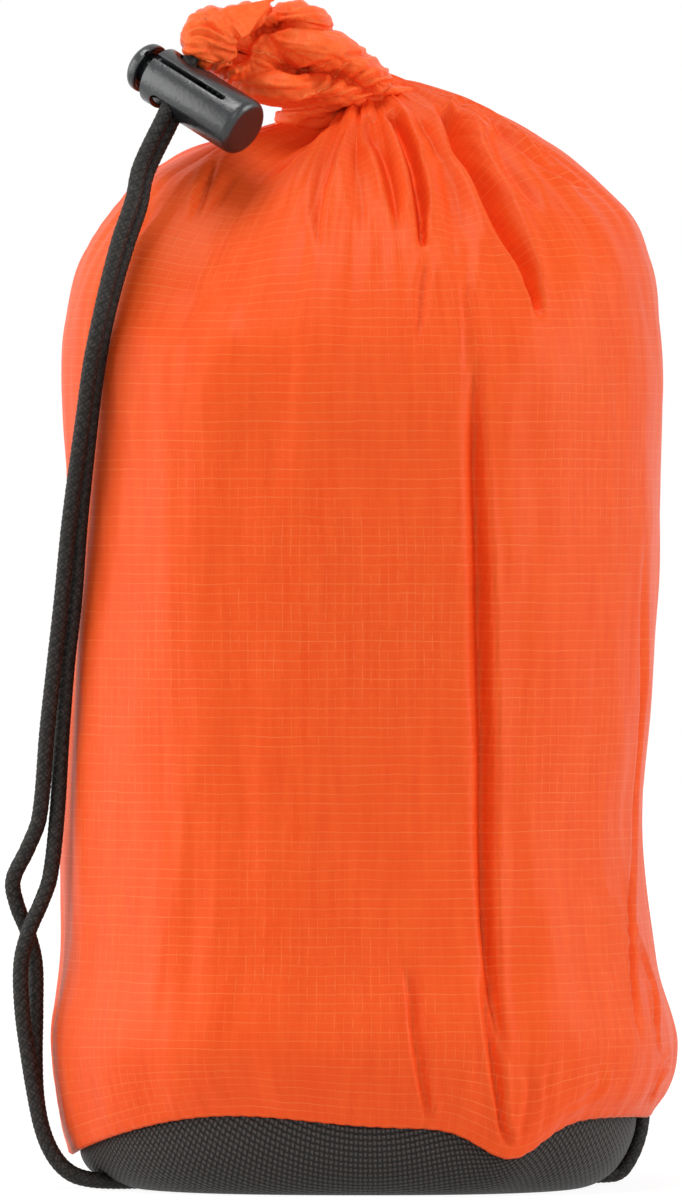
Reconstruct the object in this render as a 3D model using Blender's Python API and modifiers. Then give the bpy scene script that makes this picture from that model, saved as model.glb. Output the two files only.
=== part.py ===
"""Emergency bivvy bag, packed in its drawcord stuff sack and standing on its base.

The sack is a tube of ripstop cloth over a rolled-up bivvy. Its mouth is drawn shut by a cord that
runs through the hem, through a spring cord lock, down the left side, under the base and up to the
base seam on the right. Metres, +Z up, front towards -Y, origin on the ground under the middle.
"""

import math

import bmesh
import bpy
from mathutils import Matrix, Vector

GAP = 0.0003

# Sack: overall width and depth, the height of the base seam and of the drawn-in neck
SACK_WIDTH = 0.0856
SACK_DEPTH = 0.0800
SEAM_HEIGHT = 0.0092
SEAM_TILT = 0.0025
NECK_HEIGHT = 0.1551
NECK_SLOPE = 0.35
CLOTH = 0.0008
SQUARENESS = 2.3
AROUND = 72

# Where the base seam bows up at the front left and is pinched down at the side seam: angle round
# the sack from +X, half-width as an angle, and height
SEAM_WAVES = (
    (-121.0, 29.0, 0.0038),
    (-58.5, 9.5, -0.0043),
)

# The form from the base seam to the neck: share of the height, then how far the cloth stands out
# to the left, to the right, to the front and to the back, as shares of half the width or depth
FORM_SHARES = (
    (0.000, 0.985, 0.968, 0.965, 0.965),
    (0.022, 1.008, 1.012, 1.000, 1.000),
    (0.073, 1.044, 1.049, 1.040, 1.040),
    (0.160, 1.016, 0.990, 1.010, 1.005),
    (0.284, 1.014, 0.946, 0.985, 0.990),
    (0.433, 1.005, 0.978, 0.990, 0.985),
    (0.624, 0.995, 0.995, 1.000, 0.990),
    (0.788, 1.000, 0.995, 0.955, 0.985),
    (0.849, 0.945, 0.966, 0.840, 0.935),
    (0.904, 0.822, 0.868, 0.680, 0.810),
    (0.952, 0.700, 0.610, 0.500, 0.600),
    (0.982, 0.560, 0.370, 0.330, 0.360),
    (1.000, 0.305, 0.145, 0.190, 0.130),
)
SACK_RINGS = 28

# Folds that run down the whole side: the angle at the foot and at the top, from +X, the half-width
# as an angle, the depth, and the lowest and the highest height
SIDE_FOLDS = (
    (-61.0, -67.0, 4.5, 0.0018, 0.004, 0.108),
    (-26.0, -21.0, 5.0, 0.0015, 0.018, 0.096),
)

# Folds on the shoulder, front first, that the drawn-in mouth pulls towards it
SHOULDER_FOLDS = (
    (-74.5, -71.0, 4.5, 0.0017, 0.136, 0.154),
    (-50.0, -43.0, 7.5, 0.0026, 0.127, 0.150),
    (-18.0, -10.0, 6.0, 0.0013, 0.137, 0.154),
    (-97.0, -102.0, 5.0, 0.0010, 0.124, 0.152),
    (-127.0, -127.0, 15.0, 0.0027, 0.130, 0.152),
    (-152.0, -149.0, 5.0, 0.0008, 0.118, 0.140),
    (24.0, 16.0, 5.5, 0.0017, 0.106, 0.154),
    (46.0, 52.0, 5.5, 0.0018, 0.120, 0.154),
    (81.0, 86.0, 6.0, 0.0021, 0.112, 0.154),
    (111.0, 118.0, 5.5, 0.0017, 0.124, 0.153),
    (155.0, 147.0, 6.0, 0.0018, 0.118, 0.152),
)

# Short folds above the base seam at the back
FOOT_FOLDS = (
    (100.0, 97.0, 5.0, 0.0014, 0.006, 0.060),
    (58.0, 59.0, 5.0, 0.0010, 0.006, 0.034),
    (167.0, 163.0, 5.0, 0.0011, 0.006, 0.046),
)
FOLDS = SIDE_FOLDS + SHOULDER_FOLDS + FOOT_FOLDS
FOLD_FADE = 0.010
PLEATS = 15
PLEAT_DEPTH = 0.0006

# Base: a stout panel that curls up to the seam all round
BASE_SHARES = (0.948, 0.918, 0.945, 0.945)
BASE_WALL = 0.0009
BASE_ROUND = 0.0085

# Rolled bivvy
ROLL_CLEARANCE = 0.0016
ROLL_TURNS = 6
ROLL_CORE = 0.0040
ROLL_LAYER_GAP = 0.0006
ROLL_TOP = 0.1240

# Drawcord
CORD_DIAMETER = 0.0023
CORD_PAIR_GAP = 0.0003
CORD_CLEARANCE = 0.0003

# Cord lock, measured along its axis from the middle of the cord hole
BARREL_DIAMETER = 0.0085
BARREL_LENGTH = 0.0170
BARREL_WALL = 0.0007
BARREL_END_WALL = 0.0013
HOLE_FROM_RIM = 0.0043
PLUNGER_PLAY = 0.0003
PLUNGER_TRAVEL = 0.0015
HEAD_GAP = 0.0018
HEAD_DIAMETER = 0.0073
HEAD_HEIGHT = 0.0026
STEM_DIAMETER = 0.0046
PISTON_WEB = 0.0009
SPRING_PIN_DIAMETER = 0.0022
SPRING_PIN_LENGTH = 0.0020
KEYWAY_WIDTH = 0.0015
KEYWAY_LENGTH = 0.0134
KEYWAY_ANGLE = 200.0
SPRING_DIAMETER = 0.0048
SPRING_WIRE = 0.0005
SPRING_TURNS = 7
LOCK_SLIDE = 0.0080

# How the lock hangs: its axis points right, down and forward, and the cord runs down through it
LOCK_CENTRE = Vector((-0.0258, -0.0178, NECK_HEIGHT + 0.0021))
LOCK_PITCH = 32.5
LOCK_YAW = 30.0
HOLE_TURN = 8.0
CORD_LEAN = 13.0

# Gathered mouth: an upright cushion of pleats that flops to the front left
MOUTH_CENTRE = Vector((-0.0100, -0.0040, NECK_HEIGHT + 0.0066))
MOUTH_HALF = Vector((0.0160, 0.0122, 0.0082))
MOUTH_STALK = 1.6
MOUTH_TILT = 10.0
MOUTH_PLEATS = 9
MOUTH_PLEAT_DEPTH = 0.09
HEM_LOOP_RADIUS = 0.0046
HEM_LOOP_CENTRE = Vector((-0.0140, -0.0075, NECK_HEIGHT + 0.0071))

# Where the pair of cords lies under the base, and how both strands hang, top to bottom, from a
# neck at this height
HANG_NECK = 0.1551
UNDER_LEFT = Vector((-0.0373, -0.0104, 0.00125))
UNDER_RIGHT = Vector((0.0345, 0.0087, 0.00125))
FRONT_STRAND = (
    (-0.0327, -0.0239, 0.1413),
    (-0.0346, -0.0258, 0.1356),
    (-0.0361, -0.0274, 0.1298),
    (-0.0374, -0.0285, 0.1240),
    (-0.0386, -0.0280, 0.1181),
    (-0.0396, -0.0264, 0.1110),
    (-0.0417, -0.0229, 0.0959),
    (-0.0429, -0.0206, 0.0843),
    (-0.0439, -0.0184, 0.0757),
    (-0.0450, -0.0168, 0.0660),
    (-0.0462, -0.0142, 0.0533),
    (-0.0479, -0.0130, 0.0488),
    (-0.0500, -0.0118, 0.0442),
    (-0.0494, -0.0108, 0.0405),
    (-0.0480, -0.0104, 0.0370),
    (-0.0469, -0.0103, 0.0325),
    (-0.0468, -0.0099, 0.0260),
    (-0.0469, -0.0094, 0.0190),
    (-0.0467, -0.0092, 0.0135),
    (-0.0460, -0.0091, 0.0092),
    (-0.0448, -0.0091, 0.0059),
    (-0.0431, -0.0091, 0.0034),
    (-0.0409, -0.0092, 0.0019),
)
REAR_STRAND = (
    (-0.0317, -0.0213, 0.1405),
    (-0.0335, -0.0231, 0.1350),
    (-0.0352, -0.0248, 0.1292),
    (-0.0366, -0.0259, 0.1234),
    (-0.0377, -0.0252, 0.1175),
    (-0.0386, -0.0238, 0.1107),
    (-0.0402, -0.0206, 0.0959),
    (-0.0411, -0.0186, 0.0843),
    (-0.0421, -0.0165, 0.0757),
    (-0.0429, -0.0147, 0.0660),
    (-0.0437, -0.0137, 0.0533),
    (-0.0447, -0.0133, 0.0447),
    (-0.0459, -0.0136, 0.0412),
    (-0.0477, -0.0139, 0.0370),
    (-0.0488, -0.0134, 0.0325),
    (-0.0487, -0.0128, 0.0260),
    (-0.0478, -0.0121, 0.0190),
    (-0.0469, -0.0119, 0.0135),
    (-0.0460, -0.0118, 0.0092),
    (-0.0448, -0.0118, 0.0059),
    (-0.0431, -0.0118, 0.0034),
    (-0.0409, -0.0119, 0.0019),
)
RISE = (
    (0.0380, 0.0017),
    (0.0398, 0.0042),
    (0.0409, 0.0072),
    (0.0413, 0.0100),
)
RISE_TURN = (16.3, 12.2)


def clear_scene():
    for obj in list(bpy.data.objects):
        bpy.data.objects.remove(obj, do_unlink=True)


def collection(name, hidden=False):
    made = bpy.data.collections.new(name)
    bpy.context.scene.collection.children.link(made)
    made.hide_render = hidden
    return made


def material(name, colour, roughness, metallic=0.0):
    made = bpy.data.materials.new(name)
    made.use_nodes = True
    shader = made.node_tree.nodes["Principled BSDF"]
    shader.inputs["Base Color"].default_value = (*colour, 1.0)
    shader.inputs["Roughness"].default_value = roughness
    shader.inputs["Metallic"].default_value = metallic
    made.diffuse_color = (*colour, 1.0)
    return made


def add_object(name, data, finish=None, place=Matrix.Identity(4)):
    obj = bpy.data.objects.new(name, data)
    obj.matrix_world = place
    PIECES.objects.link(obj)
    if finish:
        data.materials.append(finish)
    return obj


def make_helper(obj):
    """Moves an object that only cuts or bounds others out of the model."""
    PIECES.objects.unlink(obj)
    CUTTERS.objects.link(obj)
    obj.hide_render = True
    obj.display_type = "WIRE"
    return obj


def combine(target, other, operation):
    modifier = target.modifiers.new(operation.title(), "BOOLEAN")
    modifier.operation = operation
    modifier.solver = "EXACT"
    modifier.object = other


def mesh_from(name, bm, smooth=True):
    bmesh.ops.recalc_face_normals(bm, faces=bm.faces)
    mesh = bpy.data.meshes.new(name)
    bm.to_mesh(mesh)
    bm.free()
    if smooth:
        mesh.shade_smooth()
        mesh.set_sharp_from_angle(angle=math.radians(40))
    return mesh


def blend(low, high, value):
    """A smooth step: 0 below low, 1 above high."""
    share = min(max((value - low) / (high - low), 0.0), 1.0)
    return share * share * (3.0 - 2.0 * share)


def angle_apart(first, second):
    return (first - second + 180.0) % 360.0 - 180.0


def form_at(share):
    """The four reaches of the sack at a share of its height, read smoothly between the rows."""
    rows = FORM_SHARES
    index = 0
    while index < len(rows) - 2 and share > rows[index + 1][0]:
        index += 1
    low, high = rows[index], rows[index + 1]
    before, after = rows[max(index - 1, 0)], rows[min(index + 2, len(rows) - 1)]
    span = high[0] - low[0]
    step = min(max((share - low[0]) / span, 0.0), 1.0)
    found = []
    for k in range(1, 5):
        slope_low = (high[k] - before[k]) / (high[0] - before[0]) * span
        slope_high = (after[k] - low[k]) / (after[0] - low[0]) * span
        found.append(
            (2 * step**3 - 3 * step**2 + 1) * low[k]
            + (step**3 - 2 * step**2 + step) * slope_low
            + (3 * step**2 - 2 * step**3) * high[k]
            + (step**3 - step**2) * slope_high
        )
    return found


def seam_height(degrees):
    """The base seam: higher on the right, bowed up at the front left, pinched at the side seam."""
    height = SEAM_HEIGHT + SEAM_TILT * math.cos(math.radians(degrees))
    for middle, half_width, rise in SEAM_WAVES:
        height += rise * math.exp(-((angle_apart(degrees, middle) / half_width) ** 2))
    return height


def neck_height(x):
    return NECK_HEIGHT + NECK_SLOPE * (x + 0.04 * SACK_WIDTH)


def fold_depth(degrees, height):
    """How far the cloth is drawn in at this angle and height by the folds and the neck's pleats."""
    depth = 0.0
    for foot, top, half_width, deep, low, high in FOLDS:
        share = min(max((height - low) / (high - low), 0.0), 1.0)
        across = math.exp(-((angle_apart(degrees, foot + share * (top - foot)) / half_width) ** 2))
        start = blend(low - FOLD_FADE, low + FOLD_FADE, height)
        end = 1.0 - blend(high - FOLD_FADE, high + FOLD_FADE, height)
        depth += deep * across * start * end
    near_neck = blend(0.86 * NECK_HEIGHT, 0.95 * NECK_HEIGHT, height)
    near_neck *= 1.0 - blend(0.985 * NECK_HEIGHT, NECK_HEIGHT, height)
    return depth + PLEAT_DEPTH * near_neck * math.cos(math.radians(PLEATS * degrees))


def outline_reach(degrees, reaches):
    left, right, front, back = reaches
    turn = math.radians(degrees)
    across = (right if math.cos(turn) > 0 else left) * SACK_WIDTH / 2
    deep = (back if math.sin(turn) > 0 else front) * SACK_DEPTH / 2
    total = (abs(math.cos(turn)) / across) ** SQUARENESS + (abs(math.sin(turn)) / deep) ** SQUARENESS
    return total ** (-1.0 / SQUARENESS)


def sack_point(degrees, share):
    """A point on the sack's outside, from the seam at share 0 to the neck at share 1."""
    turn = math.radians(degrees)
    reach = outline_reach(degrees, form_at(share))
    level = SEAM_HEIGHT + share * (NECK_HEIGHT - SEAM_HEIGHT)
    level += (seam_height(degrees) - SEAM_HEIGHT) * (1.0 - blend(0.0, 0.10, share))
    rim = outline_reach(degrees, FORM_SHARES[-1][1:])
    level += (neck_height(rim * math.cos(turn)) - NECK_HEIGHT) * blend(0.90, 1.0, share)
    reach -= fold_depth(degrees, level)
    return Vector((reach * math.cos(turn), reach * math.sin(turn), level))


def turn_steps(count):
    return [360.0 * k / count for k in range(count)]


def add_rings(bm, rings):
    """Joins rings of equal count into one band of quads, and gives the rings' vertices."""
    made = [[bm.verts.new(point) for point in ring] for ring in rings]
    for lower, upper in zip(made, made[1:]):
        count = len(lower)
        for k in range(count):
            after = (k + 1) % count
            bm.faces.new((lower[k], lower[after], upper[after], upper[k]))
    return made


def make_sack():
    bm = bmesh.new()
    rings = []
    for k in range(SACK_RINGS + 1):
        share = math.sin(math.pi / 2 * k / SACK_RINGS) ** 1.35
        rings.append([sack_point(degrees, share) for degrees in turn_steps(AROUND)])
    add_rings(bm, rings)
    obj = add_object("sack_body", mesh_from("sack_body", bm), ORANGE)
    shell = obj.modifiers.new("Cloth", "SOLIDIFY")
    shell.thickness = CLOTH
    shell.offset = -1.0
    shell.use_rim = True
    return obj


def base_point(degrees, share, inset):
    """A point on the base from the seam at share 0 to the edge of its flat underside at share 1."""
    turn = math.radians(degrees)
    round_off = math.radians(90.0 * share)
    reach = outline_reach(degrees, BASE_SHARES) - BASE_ROUND * (1.0 - math.cos(round_off))
    reach -= inset * math.cos(round_off)
    top = seam_height(degrees) - GAP
    level = top * (1.0 - math.sin(round_off)) + inset * math.sin(round_off)
    return Vector((reach * math.cos(turn), reach * math.sin(turn), level))


def base_rings(inset, steps=6):
    return [
        [base_point(degrees, 1.0 - k / steps, inset) for degrees in turn_steps(AROUND)]
        for k in range(steps + 1)
    ]


def make_base():
    bm = bmesh.new()
    outer = base_rings(0.0)
    inner = base_rings(BASE_WALL)
    made = add_rings(bm, outer + inner[::-1])
    bm.faces.new(made[0])
    bm.faces.new(made[-1])
    obj = add_object("base_panel", mesh_from("base_panel", bm), BLACK_WEAVE)
    plug = make_base_plug()
    ridge = make_groove_bar("base_ridge", BASE_WALL, BASE_WALL / 2)
    combine(ridge, plug, "INTERSECT")
    combine(obj, ridge, "UNION")
    combine(obj, make_groove_bar("base_groove", 0.0, -0.002), "DIFFERENCE")
    return obj


def make_base_plug():
    """The space inside the middle of the base's wall, which bounds the ridge over the cords."""
    bm = bmesh.new()
    made = add_rings(bm, base_rings(BASE_WALL / 2))
    bm.faces.new(made[0])
    bm.faces.new(made[-1])
    return make_helper(add_object("base_plug", mesh_from("base_plug", bm)))


def make_groove_bar(name, grow, bottom):
    """A long bar with a rounded top along the cords under the base, larger all round by grow."""
    top = UNDER_LEFT.z + CORD_DIAMETER / 2 + 2 * CORD_CLEARANCE + grow
    width = 2 * CORD_DIAMETER + CORD_PAIR_GAP + 4 * CORD_CLEARANCE + 2 * grow
    bm = bmesh.new()
    bmesh.ops.create_cube(bm, size=1.0)
    run = UNDER_RIGHT - UNDER_LEFT
    bmesh.ops.scale(bm, vec=(2 * run.length, width, top - bottom), verts=bm.verts)
    upper = [e for e in bm.edges if all(v.co.z > 0 for v in e.verts) and is_along_x(e)]
    bmesh.ops.bevel(bm, geom=upper, offset=0.3 * width, segments=4, profile=0.5, affect="EDGES")
    middle = (UNDER_LEFT + UNDER_RIGHT) / 2
    place = Matrix.Translation((middle.x, middle.y, (top + bottom) / 2))
    place @= Matrix.Rotation(math.atan2(run.y, run.x), 4, "Z")
    bmesh.ops.transform(bm, matrix=place, verts=bm.verts)
    return make_helper(add_object(name, mesh_from(name, bm)))


def is_along_x(edge):
    first, second = edge.verts
    return abs(first.co.x - second.co.x) > 10 * abs(first.co.y - second.co.y)


def make_bivvy_roll():
    """The bivvy, folded to a strip and rolled: a spiral that fills the sack."""
    narrowest = min(min(row[1], row[2]) for row in FORM_SHARES[1:8])
    shallowest = min(min(row[3], row[4]) for row in FORM_SHARES[1:8])
    spare = CLOTH + max(fold[3] for fold in SIDE_FOLDS) + ROLL_CLEARANCE
    half_width = narrowest * SACK_WIDTH / 2 - spare
    flatten = (shallowest * SACK_DEPTH / 2 - spare) / half_width
    pitch = (half_width - ROLL_CORE) / ROLL_TURNS
    layer = pitch - ROLL_LAYER_GAP
    steps = 18 * (ROLL_TURNS - 1)
    inside, outside = [], []
    for k in range(steps + 1):
        turn = 2 * math.pi * (ROLL_TURNS - 1) * k / steps
        reach = ROLL_CORE + pitch * turn / (2 * math.pi)
        inside.append((reach, turn))
        outside.append((reach + layer, turn))
    curve = bpy.data.curves.new("packed_bivvy", "CURVE")
    curve.dimensions = "2D"
    curve.fill_mode = "BOTH"
    bottom = 0.9 * BASE_ROUND
    curve.extrude = (ROLL_TOP - bottom) / 2
    spline = curve.splines.new("POLY")
    loop = inside + outside[::-1]
    spline.points.add(len(loop) - 1)
    for point, (reach, turn) in zip(spline.points, loop):
        point.co = (reach * math.cos(turn), flatten * reach * math.sin(turn), 0.0, 1.0)
    spline.use_cyclic_u = True
    place = Matrix.Translation((0.0, 0.0, (ROLL_TOP + bottom) / 2))
    return add_object("packed_bivvy", curve, SILVER, place)


def lock_frame():
    """Local -Z runs down the barrel to its closed end, and local Y down the cord hole."""
    along = Vector((math.cos(math.radians(LOCK_PITCH)), 0.0, -math.sin(math.radians(LOCK_PITCH))))
    axis = along * math.cos(math.radians(LOCK_YAW)) + Vector((0.0, -math.sin(math.radians(LOCK_YAW)), 0.0))
    down = Vector((-math.sin(math.radians(LOCK_PITCH)), 0.0, -math.cos(math.radians(LOCK_PITCH))))
    down = Matrix.Rotation(math.radians(-HOLE_TURN), 3, axis) @ down
    side = down.cross(-axis)
    frame = Matrix((side, down, -axis)).transposed().to_4x4()
    frame.translation = LOCK_CENTRE
    return frame


def cord_direction():
    """The way the cords run down through the lock, which leans a little along the barrel."""
    lean = math.radians(CORD_LEAN)
    frame = lock_frame().to_3x3()
    return (frame @ Vector((0.0, math.cos(lean), -math.sin(lean)))).normalized()


def screw_piece(name, profile, finish, steps=32):
    """A turned piece from a profile of (radius, height), on the lock's axis."""
    mesh = bpy.data.meshes.new(name)
    edges = [(k, k + 1) for k in range(len(profile) - 1)]
    mesh.from_pydata([(reach, 0.0, level) for reach, level in profile], edges, [])
    obj = add_object(name, mesh, finish)
    screw = obj.modifiers.new("Turn", "SCREW")
    screw.steps = steps
    screw.render_steps = steps
    screw.use_merge_vertices = True
    screw.merge_threshold = 0.00001
    screw.use_smooth_shade = True
    return obj


def hole_reach(radius):
    """Half the length along the barrel that the leaning cords sweep at this distance off its axis."""
    lean = math.radians(CORD_LEAN)
    return CORD_DIAMETER / 2 / math.cos(lean) + radius * math.tan(lean) + CORD_CLEARANCE


def make_bar(name, half_x, low_z, high_z, reach_y, corner):
    """A straight bar along local Y with rounded long edges, for the cord hole and the slots."""
    bm = bmesh.new()
    bmesh.ops.create_cube(bm, size=1.0)
    bmesh.ops.scale(bm, vec=(2 * half_x, reach_y[1] - reach_y[0], high_z - low_z), verts=bm.verts)
    long_edges = [e for e in bm.edges if abs(e.verts[0].co.y - e.verts[1].co.y) > 1e-6]
    bmesh.ops.bevel(bm, geom=long_edges, offset=corner, segments=5, profile=0.5, affect="EDGES")
    centre = Vector((0.0, (reach_y[0] + reach_y[1]) / 2, (low_z + high_z) / 2))
    bmesh.ops.translate(bm, vec=centre, verts=bm.verts)
    return make_helper(add_object(name, mesh_from(name, bm, smooth=False)))


def pair_half_width():
    return CORD_DIAMETER + CORD_PAIR_GAP / 2 + CORD_CLEARANCE


def make_keyway(name, reach_y, low_z, parent):
    bar = make_bar(name, KEYWAY_WIDTH / 2, low_z, 2 * HOLE_FROM_RIM, reach_y, 0.45 * KEYWAY_WIDTH)
    bar.rotation_euler.z = math.radians(KEYWAY_ANGLE - 90.0)
    bar.parent = parent
    return bar


def make_barrel(parent):
    radius = BARREL_DIAMETER / 2
    bore = radius - BARREL_WALL
    rim = HOLE_FROM_RIM
    closed_end = rim - BARREL_LENGTH
    edge = 0.0003
    crown = 0.0011
    profile = [
        (0.0, closed_end + BARREL_END_WALL),
        (bore, closed_end + BARREL_END_WALL),
        (bore, rim),
        (radius - edge, rim),
        (radius, rim - edge),
    ]
    for k in range(5):
        turn = math.radians(22.5 * k)
        profile.append((radius - crown * (1 - math.cos(turn)), closed_end + crown * (1 - math.sin(turn))))
    profile.append((0.0, closed_end))
    obj = screw_piece("cord_lock_barrel", profile, BLACK_PLASTIC)
    half = hole_reach(radius)
    through = (-BARREL_DIAMETER, BARREL_DIAMETER)
    hole = make_bar("barrel_hole", pair_half_width(), -half, half, through, 0.0014)
    hole.parent = parent
    combine(obj, hole, "DIFFERENCE")
    slot = make_keyway("barrel_keyway", (bore * 0.8, BARREL_DIAMETER), rim - KEYWAY_LENGTH, parent)
    combine(obj, slot, "DIFFERENCE")
    obj.parent = parent
    return obj


def make_plunger(parent):
    piston = BARREL_DIAMETER / 2 - BARREL_WALL - PLUNGER_PLAY
    stem = STEM_DIAMETER / 2
    head = HEAD_DIAMETER / 2
    half = hole_reach(piston)
    slot_top = half + PLUNGER_TRAVEL
    piston_top = slot_top + PISTON_WEB * 0.8
    piston_end = -half - PISTON_WEB
    under = HOLE_FROM_RIM + HEAD_GAP
    hollow = 0.0007
    profile = [(0.0, under + HEAD_HEIGHT)]
    for k in range(1, 7):
        turn = math.radians(15.0 * k)
        level = under + 0.0008 + (HEAD_HEIGHT - 0.0008) * math.cos(turn)
        profile.append((head * math.sin(turn), level))
    profile += [
        (head, under + 0.0002),
        (head - 0.0002, under),
        (head - 0.0006, under),
        (stem + 0.0003, under + hollow),
        (stem, under + hollow * 0.7),
        (stem, piston_top),
        (piston - 0.0002, piston_top),
        (piston, piston_top - 0.0002),
        (piston, piston_end + 0.0003),
        (piston - 0.0003, piston_end),
        (SPRING_PIN_DIAMETER / 2, piston_end),
        (SPRING_PIN_DIAMETER / 2, piston_end - SPRING_PIN_LENGTH),
        (0.0, piston_end - SPRING_PIN_LENGTH),
    ]
    obj = screw_piece("cord_lock_plunger", profile, BLACK_PLASTIC)
    through = (-BARREL_DIAMETER, BARREL_DIAMETER)
    slot = make_bar("plunger_slot", pair_half_width(), -half, slot_top, through, 0.0014)
    slot.parent = parent
    combine(obj, slot, "DIFFERENCE")
    groove = make_stem_groove(parent, piston_top, under + hollow * 0.5)
    combine(obj, groove, "DIFFERENCE")
    obj.parent = parent
    return obj


def make_stem_groove(parent, low, high):
    """A notch in the stem between head and barrel, in line with the barrel's slot."""
    reach = (STEM_DIAMETER / 2 - 0.0008, BARREL_DIAMETER)
    bar = make_bar("stem_groove", KEYWAY_WIDTH / 2, low, high, reach, 0.0002)
    bar.rotation_euler.z = math.radians(KEYWAY_ANGLE - 90.0)
    bar.parent = parent
    return bar


def make_spring(parent):
    """A compression spring between the plunger's end and the barrel's closed end."""
    piston = BARREL_DIAMETER / 2 - BARREL_WALL - PLUNGER_PLAY
    top = -hole_reach(piston) - PISTON_WEB - GAP - SPRING_WIRE / 2
    bottom = HOLE_FROM_RIM - BARREL_LENGTH + BARREL_END_WALL + GAP + SPRING_WIRE / 2
    reach = SPRING_DIAMETER / 2 - SPRING_WIRE / 2
    count = 9 * SPRING_TURNS
    points = []
    for k in range(count + 1):
        turn = 2 * math.pi * SPRING_TURNS * k / count
        level = top + (bottom - top) * k / count
        points.append(Vector((reach * math.cos(turn), reach * math.sin(turn), level)))
    pitch = (top - bottom) / SPRING_TURNS
    print(f"spring: gap between turns {1000 * (pitch - SPRING_WIRE):.2f} mm")
    obj = tube("cord_lock_spring", points, SPRING_WIRE, STEEL, sides_level=1)
    obj.parent = parent
    return obj


def tube(name, points, diameter, finish, sides_level=2):
    curve = bpy.data.curves.new(name, "CURVE")
    curve.dimensions = "3D"
    curve.bevel_depth = diameter / 2
    curve.bevel_resolution = sides_level
    curve.use_fill_caps = True
    spline = curve.splines.new("POLY")
    spline.points.add(len(points) - 1)
    for point, place in zip(spline.points, points):
        point.co = (*place, 1.0)
    return add_object(name, curve, finish)


def smooth_path(route, steps=16):
    """A smooth curve through the route's points, as many short steps."""
    found = []
    for k in range(len(route) - 1):
        first, second = route[k], route[k + 1]
        before = route[k - 1] if k else first * 2 - second
        after = route[k + 2] if k + 2 < len(route) else second * 2 - first
        here = (second - first).length
        slope_first = (second - before) * (here / ((second - first).length + (first - before).length))
        slope_second = (after - first) * (here / ((after - second).length + here))
        for j in range(steps):
            t = j / steps
            found.append(
                (2 * t**3 - 3 * t**2 + 1) * first
                + (t**3 - 2 * t**2 + t) * slope_first
                + (3 * t**2 - 2 * t**3) * second
                + (t**3 - t**2) * slope_second
            )
    return found + [route[-1]]


def thin_out(path, longest, widest_turn):
    """Keeps the points that a tube needs: one every so often, and more where the path bends."""
    kept = [path[0]]
    run = 0.0
    heading = (path[1] - path[0]).normalized()
    for k in range(1, len(path) - 1):
        run += (path[k] - path[k - 1]).length
        way = (path[k + 1] - path[k]).normalized()
        if run > longest or (run > 0.0016 and way.angle(heading) > math.radians(widest_turn)):
            kept.append(path[k])
            run = 0.0
            heading = way
    if (path[-1] - kept[-1]).length < 0.0012:
        kept.pop()
    return kept + [path[-1]]


def strand_side(sign):
    """Offset of one strand of the pair from their common middle, inside the lock."""
    return lock_frame().to_3x3() @ Vector((sign * (CORD_DIAMETER + CORD_PAIR_GAP) / 2, 0.0, 0.0))


def hem_exit():
    """How far up the cord from the lock's middle the strands enter the gathered mouth."""
    return BARREL_DIAMETER / 2 + 0.0028


def strand_route(sign, hanging, rise_turn):
    way = cord_direction()
    start = LOCK_CENTRE + strand_side(sign)
    top = [start + way * t for t in (-hem_exit(), -0.003, 0.001, 0.005)]
    top.append(start + way * (BARREL_DIAMETER / 2 + LOCK_SLIDE + 0.001))
    run = (UNDER_RIGHT - UNDER_LEFT).normalized()
    across = Vector((-run.y, run.x, 0.0)) * -sign * (CORD_DIAMETER + CORD_PAIR_GAP) / 2
    under = [UNDER_LEFT.lerp(UNDER_RIGHT, share) + across for share in (0.0, 0.12, 0.5, 0.88, 1.0)]
    turn = math.radians(rise_turn)
    rise = [Vector((reach * math.cos(turn), reach * math.sin(turn), level)) for reach, level in RISE]
    hang = [Vector((x, y, z * NECK_HEIGHT / HANG_NECK)) for x, y, z in hanging]
    return top + hang + under + rise


def make_strand(name, sign, hanging, rise_turn):
    path = smooth_path(strand_route(sign, hanging, rise_turn))
    points = thin_out(path, 3.0 * CORD_DIAMETER, 16.0)
    length = sum((b - a).length for a, b in zip(path, path[1:]))
    print(f"{name}: {1000 * length:.0f} mm long, {len(points)} points")
    return tube(name, points, CORD_DIAMETER, BLACK_BRAID)


def hem_loop_points():
    """The cord in the hem: in from the lock, once round the pucker, and out again beside itself."""
    way = cord_direction()
    ends = [LOCK_CENTRE + strand_side(sign) - way * (hem_exit() + 2 * GAP) for sign in (-1, 1)]
    inner = [end - way * 0.0022 for end in ends]
    middle = HEM_LOOP_CENTRE
    loop = []
    for k in range(11):
        turn = math.radians(215.0 + 290.0 * k / 10)
        loop.append(middle + Vector((math.cos(turn), -0.10 * math.cos(turn), math.sin(turn))) * HEM_LOOP_RADIUS)
    path = smooth_path([ends[0], inner[0]] + loop + [inner[1], ends[1]], steps=8)
    return thin_out(path, 0.003, 20.0)


def make_hem_loop():
    return tube("drawcord_hem_loop", hem_loop_points(), CORD_DIAMETER, BLACK_BRAID)


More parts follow.
